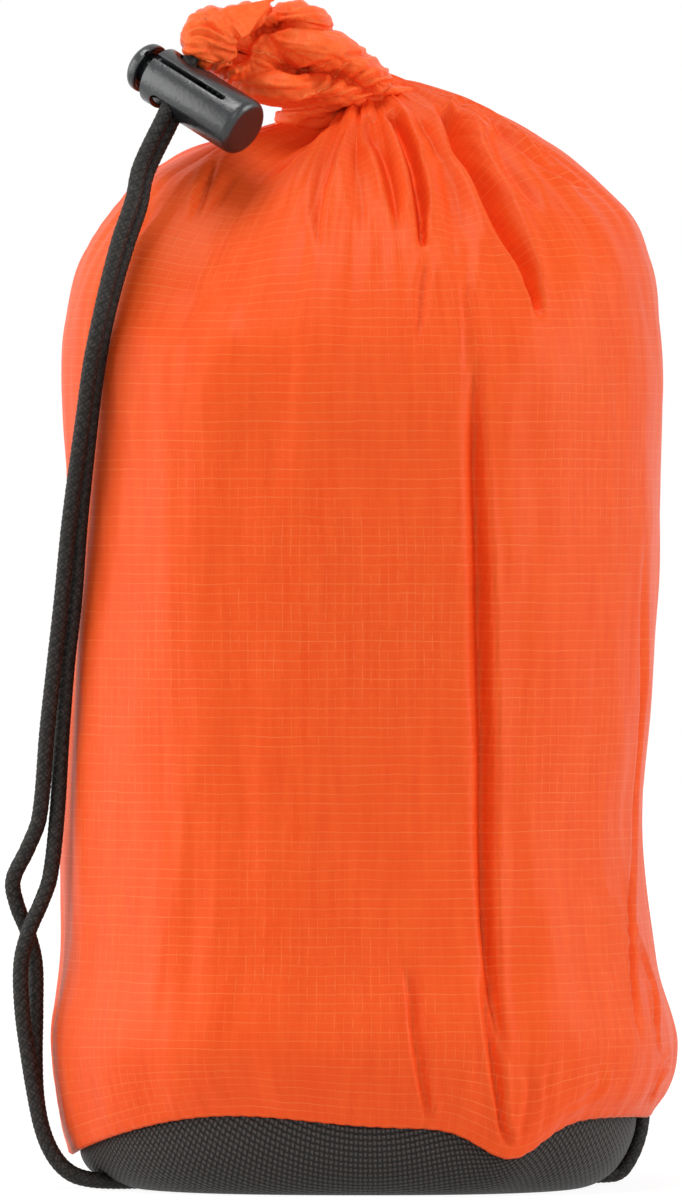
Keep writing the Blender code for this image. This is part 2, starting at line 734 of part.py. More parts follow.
def make_mouth():
    """The gathered mouth: pleats round a puckered middle, flat below where it meets the neck."""
    bm = bmesh.new()
    bmesh.ops.create_uvsphere(bm, u_segments=36, v_segments=20, radius=1.0)
    for vert in bm.verts:
        off_axis = math.acos(max(-1.0, min(1.0, vert.co.z)))
        turn = math.atan2(vert.co.y, vert.co.x)
        pleat = 1.0 + MOUTH_PLEAT_DEPTH * math.cos(MOUTH_PLEATS * turn) * math.sin(off_axis) ** 2
        dimple = 0.55 * math.exp(-((off_axis / 0.35) ** 2))
        vert.co = Vector((vert.co.x * pleat, vert.co.y * pleat, vert.co.z * (1.0 - dimple)))
    place = Matrix.Translation(MOUTH_CENTRE) @ Matrix.Rotation(math.radians(MOUTH_TILT), 4, "Y")
    place @= Matrix.Diagonal((*MOUTH_HALF, 1.0)) @ Matrix.Rotation(math.radians(90.0), 4, "X")
    bmesh.ops.transform(bm, matrix=place, verts=bm.verts)
    for vert in bm.verts:
        below = max(MOUTH_CENTRE.z - vert.co.z, 0.0)
        vert.co.z -= below * (MOUTH_STALK - 1.0)
    obj = add_object("gathered_mouth", mesh_from("gathered_mouth", bm), ORANGE)
    combine(obj, make_neck_cutter(), "DIFFERENCE")
    combine(obj, make_lock_seat(), "DIFFERENCE")
    combine(obj, make_hem_tunnel(), "DIFFERENCE")
    obj.modifiers[-1].use_self = True
    return obj


def make_neck_cutter():
    """A slab whose top face lies just above the sack's neck ring."""
    size = SACK_WIDTH
    bm = bmesh.new()
    bmesh.ops.create_cube(bm, size=size)
    slope = math.atan(NECK_SLOPE)
    place = Matrix.Translation((0.0, 0.0, neck_height(0.0) + 4 * GAP))
    place @= Matrix.Rotation(-slope, 4, "Y") @ Matrix.Translation((0.0, 0.0, -size / 2))
    bmesh.ops.transform(bm, matrix=place, verts=bm.verts)
    return make_helper(add_object("neck_cutter", mesh_from("neck_cutter", bm, smooth=False)))


def make_lock_seat():
    """The hollow that the lock's barrel presses into the gathers."""
    bm = bmesh.new()
    radius = BARREL_DIAMETER / 2 + 1.5 * GAP
    length = BARREL_LENGTH + 0.012
    bmesh.ops.create_cone(
        bm, cap_ends=True, segments=32, radius1=radius, radius2=radius, depth=length
    )
    drop = Matrix.Translation((0.0, 0.0, HOLE_FROM_RIM - BARREL_LENGTH / 2))
    bmesh.ops.transform(bm, matrix=lock_frame() @ drop, verts=bm.verts)
    return make_helper(add_object("lock_seat", mesh_from("lock_seat", bm)))


def make_hem_tunnel():
    """The channel for the cord in the hem, open where the strands come out over the lock."""
    points = hem_loop_points()
    outwards = cord_direction() * hem_exit()
    points = [points[0] + outwards] + points + [points[-1] + outwards]
    obj = tube("hem_tunnel", points, CORD_DIAMETER + 3 * GAP, None)
    bpy.context.view_layer.update()
    evaluated = obj.evaluated_get(bpy.context.evaluated_depsgraph_get())
    mesh = bpy.data.meshes.new_from_object(evaluated)
    bm = bmesh.new()
    bm.from_mesh(mesh)
    bmesh.ops.remove_doubles(bm, verts=bm.verts, dist=1e-6)
    bmesh.ops.recalc_face_normals(bm, faces=bm.faces)
    bm.to_mesh(mesh)
    bm.free()
    bpy.data.objects.remove(obj, do_unlink=True)
    return make_helper(add_object("hem_tunnel", mesh))


def make_lock():
    empty = bpy.data.objects.new("cord_lock_axis", None)
    empty.matrix_world = lock_frame()
    PIECES.objects.link(empty)
    make_barrel(empty)
    make_plunger(empty)
    make_spring(empty)


clear_scene()
PIECES = collection("emergency_bivvy_bag")
CUTTERS = collection("cutters", hidden=True)
ORANGE = material("orange ripstop", (0.83, 0.10, 0.025), 0.42)
BLACK_WEAVE = material("black oxford weave", (0.030, 0.028, 0.028), 0.75)
BLACK_BRAID = material("black braid", (0.030, 0.028, 0.025), 0.80)
BLACK_PLASTIC = material("black plastic", (0.040, 0.042, 0.045), 0.45)
SILVER = material("silvered film", (0.75, 0.76, 0.78), 0.25, metallic=0.9)
STEEL = material("spring steel", (0.55, 0.55, 0.56), 0.30, metallic=1.0)

make_sack()
make_base()
make_bivvy_roll()
make_mouth()
make_hem_loop()
make_lock()
make_strand("drawcord_front_strand", -1, FRONT_STRAND, RISE_TURN[0])
make_strand("drawcord_rear_strand", 1, REAR_STRAND, RISE_TURN[1])
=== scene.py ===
# %% [markdown]
# # An emergency bivvy bag in its stuff sack
#
# The bag is a ripstop sack, stuffed tight and standing on a black woven base. Its mouth is drawn
# shut by a braided cord with a spring lock. This notebook dresses the solid model of it: each hard
# piece is modelled finely, each piece of cloth gets its folds, and every finish is made from nodes.

import math

import bmesh
import bpy
import numpy as np
from mathutils import Matrix, Vector, noise
from mathutils.bvhtree import BVHTree


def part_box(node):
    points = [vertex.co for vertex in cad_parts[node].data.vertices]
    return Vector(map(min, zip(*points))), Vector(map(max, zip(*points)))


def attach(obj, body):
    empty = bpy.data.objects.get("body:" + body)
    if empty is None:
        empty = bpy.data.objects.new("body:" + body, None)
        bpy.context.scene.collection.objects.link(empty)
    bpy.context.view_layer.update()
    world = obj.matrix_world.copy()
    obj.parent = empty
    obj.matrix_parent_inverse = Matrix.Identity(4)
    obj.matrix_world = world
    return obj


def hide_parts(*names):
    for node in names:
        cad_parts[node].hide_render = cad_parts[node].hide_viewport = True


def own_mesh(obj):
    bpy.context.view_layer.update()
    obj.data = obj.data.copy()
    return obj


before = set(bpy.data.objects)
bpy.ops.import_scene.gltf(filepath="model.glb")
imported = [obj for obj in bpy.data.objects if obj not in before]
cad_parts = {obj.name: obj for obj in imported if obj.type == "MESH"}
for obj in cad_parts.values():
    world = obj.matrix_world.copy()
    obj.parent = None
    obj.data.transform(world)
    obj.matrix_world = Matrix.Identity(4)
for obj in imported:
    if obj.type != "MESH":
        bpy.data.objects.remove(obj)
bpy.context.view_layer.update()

# %% [markdown]
# ## Camera, floor and light
#
# The photograph was taken from a little above the ground, straight at the front. A long lens keeps
# the sides upright. One picture height covers 172.5 mm at the middle of the bag. The floor and the
# world look white to the camera, and the floor keeps a soft shadow.


# %% Put things in the scene
def add_object(name, data):
    """Makes an object of this data and puts it in the scene."""
    made = bpy.data.objects.new(name, data)
    bpy.context.scene.collection.objects.link(made)
    return made


def aim(obj, place, target):
    """Puts a camera or lamp at its place and turns it to its target."""
    obj.location = place
    obj.rotation_euler = (Vector(target) - Vector(place)).to_track_quat("-Z", "Y").to_euler()


# %% Camera
CAMERA_DISTANCE = 2.20
CAMERA_HEIGHT = 0.100
PICTURE_HEIGHT = 0.1725
PICTURE_MIDDLE = Vector((-0.0031, 0.0, 0.08425))
SENSOR = 36.0

camera_data = bpy.data.cameras.new("camera")
camera_data.sensor_width = SENSOR
camera_data.lens = SENSOR * CAMERA_DISTANCE / PICTURE_HEIGHT
camera = add_object("camera", camera_data)
aim(camera, (PICTURE_MIDDLE.x, -CAMERA_DISTANCE, CAMERA_HEIGHT), PICTURE_MIDDLE)
bpy.context.scene.camera = camera
print("lens", round(camera_data.lens), "mm")

# %% Helpers for node materials
# Short names for the inputs of the Principled shader
LOOKS = {
    "colour": "Base Color",
    "rough": "Roughness",
    "metallic": "Metallic",
    "specular": "Specular IOR Level",
    "tint": "Specular Tint",
}


class Nodes:
    """A node tree, with short ways to add nodes to it."""

    def __init__(self, tree):
        self.tree = tree

    def feed(self, socket, value):
        """Links a value from another node, or sets a plain one. A colour comes without its alpha."""
        if isinstance(value, bpy.types.NodeSocket):
            self.tree.links.new(value, socket)
        else:
            socket.default_value = (*value, 1.0) if socket.type == "RGBA" else value

    def add(self, kind, inputs=(), **settings):
        made = self.tree.nodes.new("ShaderNode" + kind)
        for word, value in settings.items():
            setattr(made, word, value)
        for name, value in dict(inputs).items():
            self.feed(made.inputs[name], value)
        return made

    def maths(self, operation, *values):
        return self.add("Math", enumerate(values), operation=operation).outputs[0]

    def times(self, one, two):
        return self.maths("MULTIPLY", one, two)

    def scaled(self, value, factor, offset):
        return self.maths("MULTIPLY_ADD", value, factor, offset)

    def larger(self, one, two):
        return self.maths("MAXIMUM", one, two)

    def mixed(self, share, first, second):
        return self.add("Mix", {0: share, 6: first, 7: second}, data_type="RGBA").outputs[2]

    def noise(self, place, scale, detail=3.0, roughness=0.5):
        inputs = {"Vector": place, "Scale": scale, "Detail": detail, "Roughness": roughness}
        return self.add("TexNoise", inputs).outputs["Fac"]

    def stretched_noise(self, place, sizes, scale, detail=2.0):
        stretch = self.add("Mapping", {"Vector": place, "Scale": (*sizes, 1.0)})
        return self.noise(stretch.outputs[0], scale, detail)

    def sharpened(self, value, low, high):
        """0 below one level and 1 above another."""
        return self.add("MapRange", {"Value": value, "From Min": low, "From Max": high}).outputs[0]

    def seen_directly(self):
        """1 for what the camera sees, also in or through a piece, and 0 for the light that falls on one."""
        path = self.add("LightPath").outputs
        seen = self.larger(path["Is Camera Ray"], path["Is Glossy Ray"])
        return self.larger(seen, path["Is Transmission Ray"])


class Finish(Nodes):
    """A material with a Principled shader."""

    def __init__(self, name, colour, rough, metallic=0.0):
        self.material = bpy.data.materials.new(name)
        self.material.use_nodes = True
        super().__init__(self.material.node_tree)
        self.shader = self.tree.nodes["Principled BSDF"]
        self.look(colour=colour, rough=rough, metallic=metallic)

    def look(self, **looks):
        for word, value in looks.items():
            self.feed(self.shader.inputs[LOOKS[word]], value)

    def bump(self, height, distance, strength=1.0):
        made = self.add("Bump", {"Height": height, "Distance": distance, "Strength": strength})
        self.feed(self.shader.inputs["Normal"], made.outputs["Normal"])

    def own_place(self):
        return self.add("TexCoord").outputs["Object"]

    def cloth_place(self):
        """The place on the flat cloth, in metres."""
        return self.add("UVMap", uv_map="Cloth").outputs[0]

    def split(self, place):
        return self.add("SeparateXYZ", {0: place}).outputs


def set_finish(obj, finish):
    obj.data.materials.clear()
    obj.data.materials.append(finish.material)


# %% Floor
FLOOR_SIZE = 6.0
FLOOR_GLOW = 0.80
GLOW_NEAR = 1.14
GLOW_FAR = 1.28
NEAR_REACH = 0.20
FAR_REACH = 1.50
bpy.ops.mesh.primitive_plane_add(size=FLOOR_SIZE, location=(0.0, 0.0, 0.0))
floor = bpy.context.active_object
floor.name = "floor"
pale = Finish("pale floor", (0.93, 0.93, 0.93), 0.9)
reach = pale.add("VectorMath", {0: pale.own_place()}, operation="LENGTH").outputs["Value"]
strength = pale.scaled(pale.sharpened(reach, NEAR_REACH, FAR_REACH), GLOW_FAR - GLOW_NEAR, GLOW_NEAR)
glow = pale.add("Emission", {"Strength": strength})
share = pale.times(pale.seen_directly(), FLOOR_GLOW)
blend = pale.add("MixShader", {0: share, 1: pale.shader.outputs[0], 2: glow.outputs[0]})
pale.feed(pale.tree.nodes["Material Output"].inputs["Surface"], blend.outputs[0])
set_finish(floor, pale)

# %% World and lamps
WORLD_LIGHT = 0.18
MIDDLE = (0.0, 0.0, 0.09)
# Each softbox: its place, its width in metres and its power in watts
SOFTBOXES = {
    "left box": ((-1.15, -0.10, 0.35), 1.00, 9.8),
    "right box": ((1.15, -0.30, 0.40), 0.60, 6.0),
    "front box": ((0.25, -1.50, 0.60), 0.70, 3.2),
    "top box": ((-0.20, -0.35, 1.30), 0.60, 8.2),
}
world = bpy.data.worlds.new("studio")
bpy.context.scene.world = world
world.use_nodes = True
sky = Nodes(world.node_tree)
background = sky.tree.nodes["Background"].inputs
sky.feed(background["Strength"], sky.scaled(sky.seen_directly(), 1.0 - WORLD_LIGHT, WORLD_LIGHT))
sky.feed(background["Color"], (1.0, 1.0, 1.0))
for name, (place, width, power) in SOFTBOXES.items():
    lamp = bpy.data.lights.new(name, "AREA")
    lamp.size = width
    lamp.energy = power
    aim(add_object(name, lamp), place, MIDDLE)
bpy.context.scene.view_settings.view_transform = "Standard"
print("world light", WORLD_LIGHT)

# %% [markdown]
# ## The braided drawcord
#
# A drawcord is a round braid: threads wind both ways round a core and cross over and under each
# other. Each strand follows a smooth curve through points that were read off the photograph, from
# the mouth through the lock, down the side, under the base and up to the base seam. A fine tube is
# swept along it and the threads are raised on its skin, because a plain tube would show as a wire.

# %% Where the cord lock sits
LOCK_CENTRE = Vector((-0.0258, -0.0178, 0.1572))
LOCK_PITCH = math.radians(32.5)
LOCK_YAW = math.radians(30.0)
HOLE_TURN = math.radians(8.0)
CORD_LEAN = math.radians(13.0)
BARREL_RADIUS = 0.00425
LOCK_SLIDE = 0.0080


def lock_frame():
    """Local -Z runs down the barrel to its closed end, and local Y down the cord hole."""
    along = Vector((math.cos(LOCK_PITCH), 0.0, -math.sin(LOCK_PITCH)))
    axis = along * math.cos(LOCK_YAW) + Vector((0.0, -math.sin(LOCK_YAW), 0.0))
    down = Vector((-math.sin(LOCK_PITCH), 0.0, -math.cos(LOCK_PITCH)))
    down = Matrix.Rotation(-HOLE_TURN, 3, axis) @ down
    side = down.cross(-axis)
    made = Matrix((side, down, -axis)).transposed().to_4x4()
    made.translation = LOCK_CENTRE
    return made


LOCK = lock_frame()
LOCK_TURN = LOCK.to_3x3()
CORD_WAY = (LOCK_TURN @ Vector((0.0, math.cos(CORD_LEAN), -math.sin(CORD_LEAN)))).normalized()
print("the cord runs through the lock along", [round(v, 3) for v in CORD_WAY])

# %% The cord's route
CORD_DIAMETER = 0.0023
PAIR_STEP = CORD_DIAMETER + 0.0003
HEM_EXIT = BARREL_RADIUS + 0.0028
# Where the route has points before, in and after the lock, from its middle
LOCK_RUNS = (-HEM_EXIT, -0.003, 0.001, 0.005, BARREL_RADIUS + LOCK_SLIDE + 0.001)
UNDER_LEFT = Vector((-0.0373, -0.0104, 0.00125))
UNDER_RIGHT = Vector((0.0345, 0.0087, 0.00125))
UNDER_SHARES = (0.0, 0.12, 0.5, 0.88, 1.0)
FRONT_HANG = (
    (-0.0327, -0.0239, 0.1413), (-0.0346, -0.0258, 0.1356), (-0.0361, -0.0274, 0.1298),
    (-0.0374, -0.0285, 0.1240), (-0.0386, -0.0280, 0.1181), (-0.0396, -0.0264, 0.1110),
    (-0.0417, -0.0229, 0.0959), (-0.0429, -0.0206, 0.0843), (-0.0439, -0.0184, 0.0757),
    (-0.0450, -0.0168, 0.0660), (-0.0462, -0.0142, 0.0533), (-0.0479, -0.0130, 0.0488),
    (-0.0500, -0.0118, 0.0442), (-0.0494, -0.0108, 0.0405), (-0.0480, -0.0104, 0.0370),
    (-0.0469, -0.0103, 0.0325), (-0.0468, -0.0099, 0.0260), (-0.0469, -0.0094, 0.0190),
    (-0.0467, -0.0092, 0.0135), (-0.0460, -0.0091, 0.0092), (-0.0448, -0.0091, 0.0059),
    (-0.0431, -0.0091, 0.0034), (-0.0409, -0.0092, 0.0019),
)
REAR_HANG = (
    (-0.0317, -0.0213, 0.1405), (-0.0335, -0.0231, 0.1350), (-0.0352, -0.0248, 0.1292),
    (-0.0366, -0.0259, 0.1234), (-0.0377, -0.0252, 0.1175), (-0.0386, -0.0238, 0.1107),
    (-0.0402, -0.0206, 0.0959), (-0.0411, -0.0186, 0.0843), (-0.0421, -0.0165, 0.0757),
    (-0.0429, -0.0147, 0.0660), (-0.0437, -0.0137, 0.0533), (-0.0447, -0.0133, 0.0447),
    (-0.0459, -0.0136, 0.0412), (-0.0477, -0.0139, 0.0370), (-0.0488, -0.0134, 0.0325),
    (-0.0487, -0.0128, 0.0260), (-0.0478, -0.0121, 0.0190), (-0.0469, -0.0119, 0.0135),
    (-0.0460, -0.0118, 0.0092), (-0.0448, -0.0118, 0.0059), (-0.0431, -0.0118, 0.0034),
    (-0.0409, -0.0119, 0.0019),
)
# Up the right side to the seam: how far from the middle, and how high
RISE = ((0.0380, 0.0017), (0.0398, 0.0042), (0.0409, 0.0072), (0.0413, 0.0100), (0.0412, 0.0128))


def hermite(t, first, slope_first, second, slope_second):
    """A smooth curve from first to second, which has these slopes at its ends."""
    return (
        (2 * t**3 - 3 * t**2 + 1) * first
        + (t**3 - 2 * t**2 + t) * slope_first
        + (3 * t**2 - 2 * t**3) * second
        + (t**3 - t**2) * slope_second
    )


def smooth_path(route, steps=16):
    """A smooth curve through the route's points, as many short steps."""
    found = []
    for k in range(len(route) - 1):
        first, second = route[k], route[k + 1]
        before = route[k - 1] if k else first * 2 - second
        after = route[k + 2] if k + 2 < len(route) else second * 2 - first
        here = (second - first).length
        slope_first = (second - before) * (here / (here + (first - before).length))
        slope_second = (after - first) * (here / ((after - second).length + here))
        found += [hermite(j / steps, first, slope_first, second, slope_second) for j in range(steps)]
    return found + [route[-1]]


def through_lock(sign, run):
    """A point of one strand, this far past the lock's middle."""
    return LOCK_CENTRE + LOCK_TURN @ Vector((sign * PAIR_STEP / 2, 0.0, 0.0)) + CORD_WAY * run


def strand_route(sign, hanging, rise_turn):
    way = (UNDER_RIGHT - UNDER_LEFT).normalized()
    across = Vector((-way.y, way.x, 0.0)) * -sign * PAIR_STEP / 2
    under = [UNDER_LEFT.lerp(UNDER_RIGHT, share) + across for share in UNDER_SHARES]
    turn = math.radians(rise_turn)
    rise = [Vector((reach * math.cos(turn), reach * math.sin(turn), level)) for reach, level in RISE]
    top = [through_lock(sign, run) for run in LOCK_RUNS]
    return top + [Vector(point) for point in hanging] + under + rise


def running(steps):
    """How far along each point is, from the steps between the points."""
    return np.concatenate([[0.0], np.cumsum(steps)])


def even_steps(path, step):
    """The path again, as points the same distance apart, and its length."""
    points = np.array([tuple(p) for p in path])
    run = running(np.linalg.norm(np.diff(points, axis=0), axis=1))
    places = np.linspace(0.0, run[-1], max(int(run[-1] / step), 2) + 1)
    return np.stack([np.interp(places, run, points[:, k]) for k in range(3)], axis=1), run[-1]


# %% Helpers for skins made of points
def unit(ways):
    """The same directions with a length of 1."""
    return ways / np.linalg.norm(ways, axis=-1, keepdims=True)


def from_polar(turn, reach, level):
    """Points from their angle round the upright axis, their reach from it and their level."""
    return np.stack(np.broadcast_arrays(reach * np.cos(turn), reach * np.sin(turn), level), axis=-1)


def grid_faces(rows, columns, closed):
    """The quads of a grid of points whose rows may close on themselves."""
    along = columns if closed else columns - 1
    start = np.arange(rows - 1)[:, None] * columns
    low = start + np.arange(along)
    after = start + (np.arange(along) + 1) % columns
    return np.stack([low, after, after + columns, low + columns], axis=-1).reshape(-1, 4).tolist()


def set_outwards(obj):
    bm = bmesh.new()
    bm.from_mesh(obj.data)
    bmesh.ops.recalc_face_normals(bm, faces=bm.faces)
    bm.to_mesh(obj.data)
    bm.free()


def mesh_object(name, points, faces, finish):
    mesh = bpy.data.meshes.new(name)
    mesh.from_pydata(points.reshape(-1, 3), [], faces)
    mesh.shade_smooth()
    mesh.materials.append(finish.material)
    return add_object(name, mesh)


def write_cloth_place(obj, per_vertex):
    """Gives each corner its vertex's place on the flat cloth, in metres."""
    layer = obj.data.uv_layers.new(name="Cloth")
    corners = np.zeros(len(obj.data.loops), dtype=np.int32)
    obj.data.loops.foreach_get("vertex_index", corners)
    layer.data.foreach_set("uv", per_vertex.reshape(-1, 2)[corners].astype(np.float32).ravel())


# %% Sweep a braided skin along a path
BRAID_PITCH = 0.0062
BRAID_THREADS = 16
BRAID_RELIEF = 0.00020
THREAD_CURVE = 0.6
CROSSING_SHARPNESS = 4.0


def ring_axes(points):
    """Two directions square to the path at each point, carried along it without twisting."""
    ways = unit(np.gradient(points, axis=0))
    sides = [np.cross(ways[0], (0.0, 0.0, 1.0))]
    for way in ways:
        sides.append(unit(sides[-1] - way * np.dot(sides[-1], way)))
    sides = np.array(sides[1:])
    return sides, np.cross(ways, sides)


def braid_height(turn, run):
    """How far the threads of a braid stand out: two families that pass over and under each other."""
    one = BRAID_THREADS / 2 * (turn / math.tau + run / BRAID_PITCH)
    two = BRAID_THREADS / 2 * (turn / math.tau - run / BRAID_PITCH)
    over = np.sin(math.pi / 2 * (one + two)) * np.sin(math.pi / 2 * (one - two))
    blend = 0.5 + 0.5 * np.tanh(CROSSING_SHARPNESS * over)
    first, second = (np.abs(np.sin(math.pi * family)) ** THREAD_CURVE for family in (one, two))
    return first * blend + second * (1.0 - blend)


def braided_cord(name, path, around=44, step=0.00020):
    points, length = even_steps(path, step)
    sides, ups = ring_axes(points)
    turns = np.linspace(0.0, math.tau, around, endpoint=False)
    runs = np.linspace(0.0, length, len(points))
    height = braid_height(turns, runs[:, None])
    radius = CORD_DIAMETER / 2 - BRAID_RELIEF * (1.0 - height)
    ring = np.cos(turns)[:, None] * sides[:, None] + np.sin(turns)[:, None] * ups[:, None]
    last = (len(points) - 1) * around
    caps = [list(range(around))[::-1], list(range(last, last + around))]
    faces = grid_faces(len(points), around, closed=True) + caps
    made = mesh_object(name, points[:, None] + radius[:, :, None] * ring, faces, braid)
    write_cloth_place(made, np.stack(np.broadcast_arrays(turns * CORD_DIAMETER / 2, runs[:, None]), axis=-1))
    crown = made.data.attributes.new("Crown", "FLOAT", "POINT")
    crown.data.foreach_set("value", height.astype(np.float32).ravel())
    set_outwards(made)
    print(name, round(1000 * length), "mm,", 2 * len(made.data.polygons), "triangles")
    return made, points, length


# %% Black braid
# Polyester yarn is nearly black, with fine fibres. Its colour is painted lighter on the crown of each
# thread, a painted highlight, and darker in the dips between threads, painted shade
braid = Finish("black braid", (0.020, 0.019, 0.018), 0.58)
cloth = braid.cloth_place()
crown = braid.add("Attribute", attribute_name="Crown").outputs["Fac"]
fibres = braid.noise(cloth, 9000.0, 2.0)
patches = braid.sharpened(braid.noise(cloth, 1300.0, 2.0), 0.30, 0.75)
# Painted highlight on the thread crowns and painted shade in the dips between them
shade = braid.times(braid.maths("POWER", crown, 2.5), patches)
shade = braid.times(shade, braid.scaled(fibres, 0.9, 0.35))
braid.look(colour=braid.mixed(shade, (0.004, 0.0035, 0.003), (0.080, 0.073, 0.064)), specular=0.25)
braid.bump(fibres, 0.00004)

# %% The two strands outside the sack
for name, node, sign, hanging, rise_turn in (
    ("front_cord_strand", "drawcord_front_strand", -1, FRONT_HANG, 16.3),
    ("rear_cord_strand", "drawcord_rear_strand", 1, REAR_HANG, 12.2),
):
    strand, points, length = braided_cord(name, smooth_path(strand_route(sign, hanging, rise_turn)))
    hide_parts(node)
    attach(strand, "sack")

# %% The cord inside the hem
HEM_LOOP_CENTRE = Vector((-0.0140, -0.0075, 0.1622))
HEM_LOOP_RADIUS = 0.0046
HEM_LOOP_START = 215.0
HEM_LOOP_STEP = 29.0
HEM_LOOP_POINTS = 11
HEM_LOOP_LEAN = -0.10
JOINT_GAP = 0.0006
JOINT_RUN = 0.0022
outer = [through_lock(sign, -HEM_EXIT - JOINT_GAP) for sign in (-1, 1)]
inner = [end - CORD_WAY * JOINT_RUN for end in outer]
loop = []
for k in range(HEM_LOOP_POINTS):
    turn = math.radians(HEM_LOOP_START + HEM_LOOP_STEP * k)
    reach = Vector((math.cos(turn), HEM_LOOP_LEAN * math.cos(turn), math.sin(turn)))
    loop.append(HEM_LOOP_CENTRE + reach * HEM_LOOP_RADIUS)
hem_route = [outer[0], inner[0]] + loop + [inner[1], outer[1]]
hem_cord = braided_cord("cord_in_the_hem", smooth_path(hem_route, 8), 16, 0.0005)[0]
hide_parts("drawcord_hem_loop")
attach(hem_cord, "sack")

# %% [markdown]
# ## The spring cord lock
#
# A cord lock is a plastic barrel with a plunger in it. Both have a hole across them, and a spring
# pushes the plunger out, so that the two holes pinch the cord. The barrel is a cylinder with its
# closed end rounded by a bevel and its bore made by an inset and an extrusion. The cross hole and
# the keyway are cut with Boolean cutters, and a fine bevel softens each edge as moulding does.


# %% Helpers for hard pieces
def only(*objects):
    """Leaves these objects alone selected, and the first of them active."""
    bpy.ops.object.select_all(action="DESELECT")
    for obj in objects:
        obj.select_set(True)
    bpy.context.view_layer.objects.active = objects[0]


def modify(obj, kind, **settings):
    """Gives an object a modifier and applies it."""
    made = obj.modifiers.new(kind, kind)
    for word, value in settings.items():
        setattr(made, word, value)
    only(obj)
    bpy.ops.object.modifier_apply(modifier=made.name)


def cut(obj, cutter):
    """Cuts one object from another, and removes the cutter."""
    modify(obj, "BOOLEAN", operation="DIFFERENCE", solver="EXACT", object=cutter)
    bpy.data.objects.remove(cutter, do_unlink=True)


def edit_end(obj, way):
    """Enters edit mode with only the end selected that looks up (1) or down (-1)."""
    only(obj)
    bpy.ops.object.mode_set(mode="EDIT")
    bpy.ops.mesh.select_mode(type="FACE")
    bpy.ops.mesh.select_all(action="DESELECT")
    bpy.ops.object.mode_set(mode="OBJECT")
    for face in obj.data.polygons:
        face.select = way * face.normal.z > 0.9
    bpy.ops.object.mode_set(mode="EDIT")


def rounded_bar(size, place, corner, turn=0.0):
    """A bar along Y with rounded long edges, turned about Z, to cut slots and holes with."""
    bpy.ops.mesh.primitive_cube_add(size=1.0)
    bar = bpy.context.active_object
    bar.data.transform(Matrix.Diagonal((*size, 1.0)))
    for edge in bar.data.edges:
        first, second = (bar.data.vertices[i].co for i in edge.vertices)
        edge.select = abs(first.y - second.y) > 1e-6
    bpy.ops.object.mode_set(mode="EDIT")
    bpy.ops.mesh.select_mode(type="EDGE")
    bpy.ops.mesh.bevel(offset=corner, segments=8, affect="EDGES")
    bpy.ops.object.mode_set(mode="OBJECT")
    bar.data.transform(Matrix.Rotation(turn, 4, "Z") @ Matrix.Translation(place))
    return bar


SHARP_EDGE = math.radians(30.0)
SMOOTH_ANGLE = math.radians(35.0)


def soften_edges(obj, width, segments):
    modify(obj, "BEVEL", width=width, segments=segments, limit_method="ANGLE", angle_limit=SHARP_EDGE)
    bpy.ops.object.shade_smooth_by_angle(angle=SMOOTH_ANGLE)


# %% The barrel
BARREL_LENGTH = 0.0170
RIM = 0.0043
BORE_RADIUS = 0.00355
END_WALL = 0.0013
END_ROUND = 0.0012
closed_end = RIM - BARREL_LENGTH
bpy.ops.mesh.primitive_cylinder_add(vertices=96, radius=BARREL_RADIUS, depth=BARREL_LENGTH)
barrel = bpy.context.active_object
barrel.name = "lock_barrel"
barrel.data.transform(Matrix.Translation((0.0, 0.0, RIM - BARREL_LENGTH / 2)))
edit_end(barrel, -1)
bpy.ops.mesh.bevel(offset=END_ROUND, segments=8, affect="EDGES")
bpy.ops.object.mode_set(mode="OBJECT")
edit_end(barrel, 1)
bpy.ops.mesh.inset(thickness=BARREL_RADIUS - BORE_RADIUS, depth=0.0)
bpy.ops.mesh.extrude_region_move(TRANSFORM_OT_translate={"value": (0.0, 0.0, END_WALL - BARREL_LENGTH)})
bpy.ops.object.mode_set(mode="OBJECT")
print("barrel", [round(1000 * v, 2) for v in barrel.dimensions], "mm")

# %% The barrel's cord hole and keyway
CORD_SPACE = 0.0003
PAIR_HALF = CORD_DIAMETER + 0.00015 + CORD_SPACE
HOLE_RUN = 0.018
HOLE_CORNER = 0.0014
KEYWAY_WIDTH = 0.0009
KEYWAY_LENGTH = 0.0134
KEYWAY_RUN = 0.0054
KEYWAY_MIDDLE = 0.0056
KEYWAY_TURN = math.radians(110.0)
BARREL_EDGE = 0.00016


def hole_half(radius):
    """Half the hole's length along the barrel that the leaning cords need at this radius."""
    return CORD_DIAMETER / 2 / math.cos(CORD_LEAN) + radius * math.tan(CORD_LEAN) + CORD_SPACE


def upright_bar(width, run, low, high, middle, corner, turn=0.0):
    """A rounded bar that cuts from one level to another."""
    return rounded_bar((width, run, high - low), (0.0, middle, (low + high) / 2), corner, turn)


half = hole_half(BARREL_RADIUS)
cut(barrel, upright_bar(2 * PAIR_HALF, HOLE_RUN, -half, half, 0.0, HOLE_CORNER))
keyway_foot = RIM - KEYWAY_LENGTH
keyway = (KEYWAY_WIDTH, KEYWAY_RUN, keyway_foot, 2 * RIM, KEYWAY_MIDDLE, 0.45 * KEYWAY_WIDTH, KEYWAY_TURN)
cut(barrel, upright_bar(*keyway))
soften_edges(barrel, BARREL_EDGE, 3)
print("barrel faces", len(barrel.data.polygons))

# %% The plunger
PISTON_RADIUS = 0.00325
PISTON_CORNER = 0.0002
PISTON_CHAMFER = 0.0003
STEM_RADIUS = 0.0023
HEAD_RADIUS = 0.00365
HEAD_GAP = 0.0018
HEAD_EDGE = 0.0008
HEAD_DOME = 0.0018
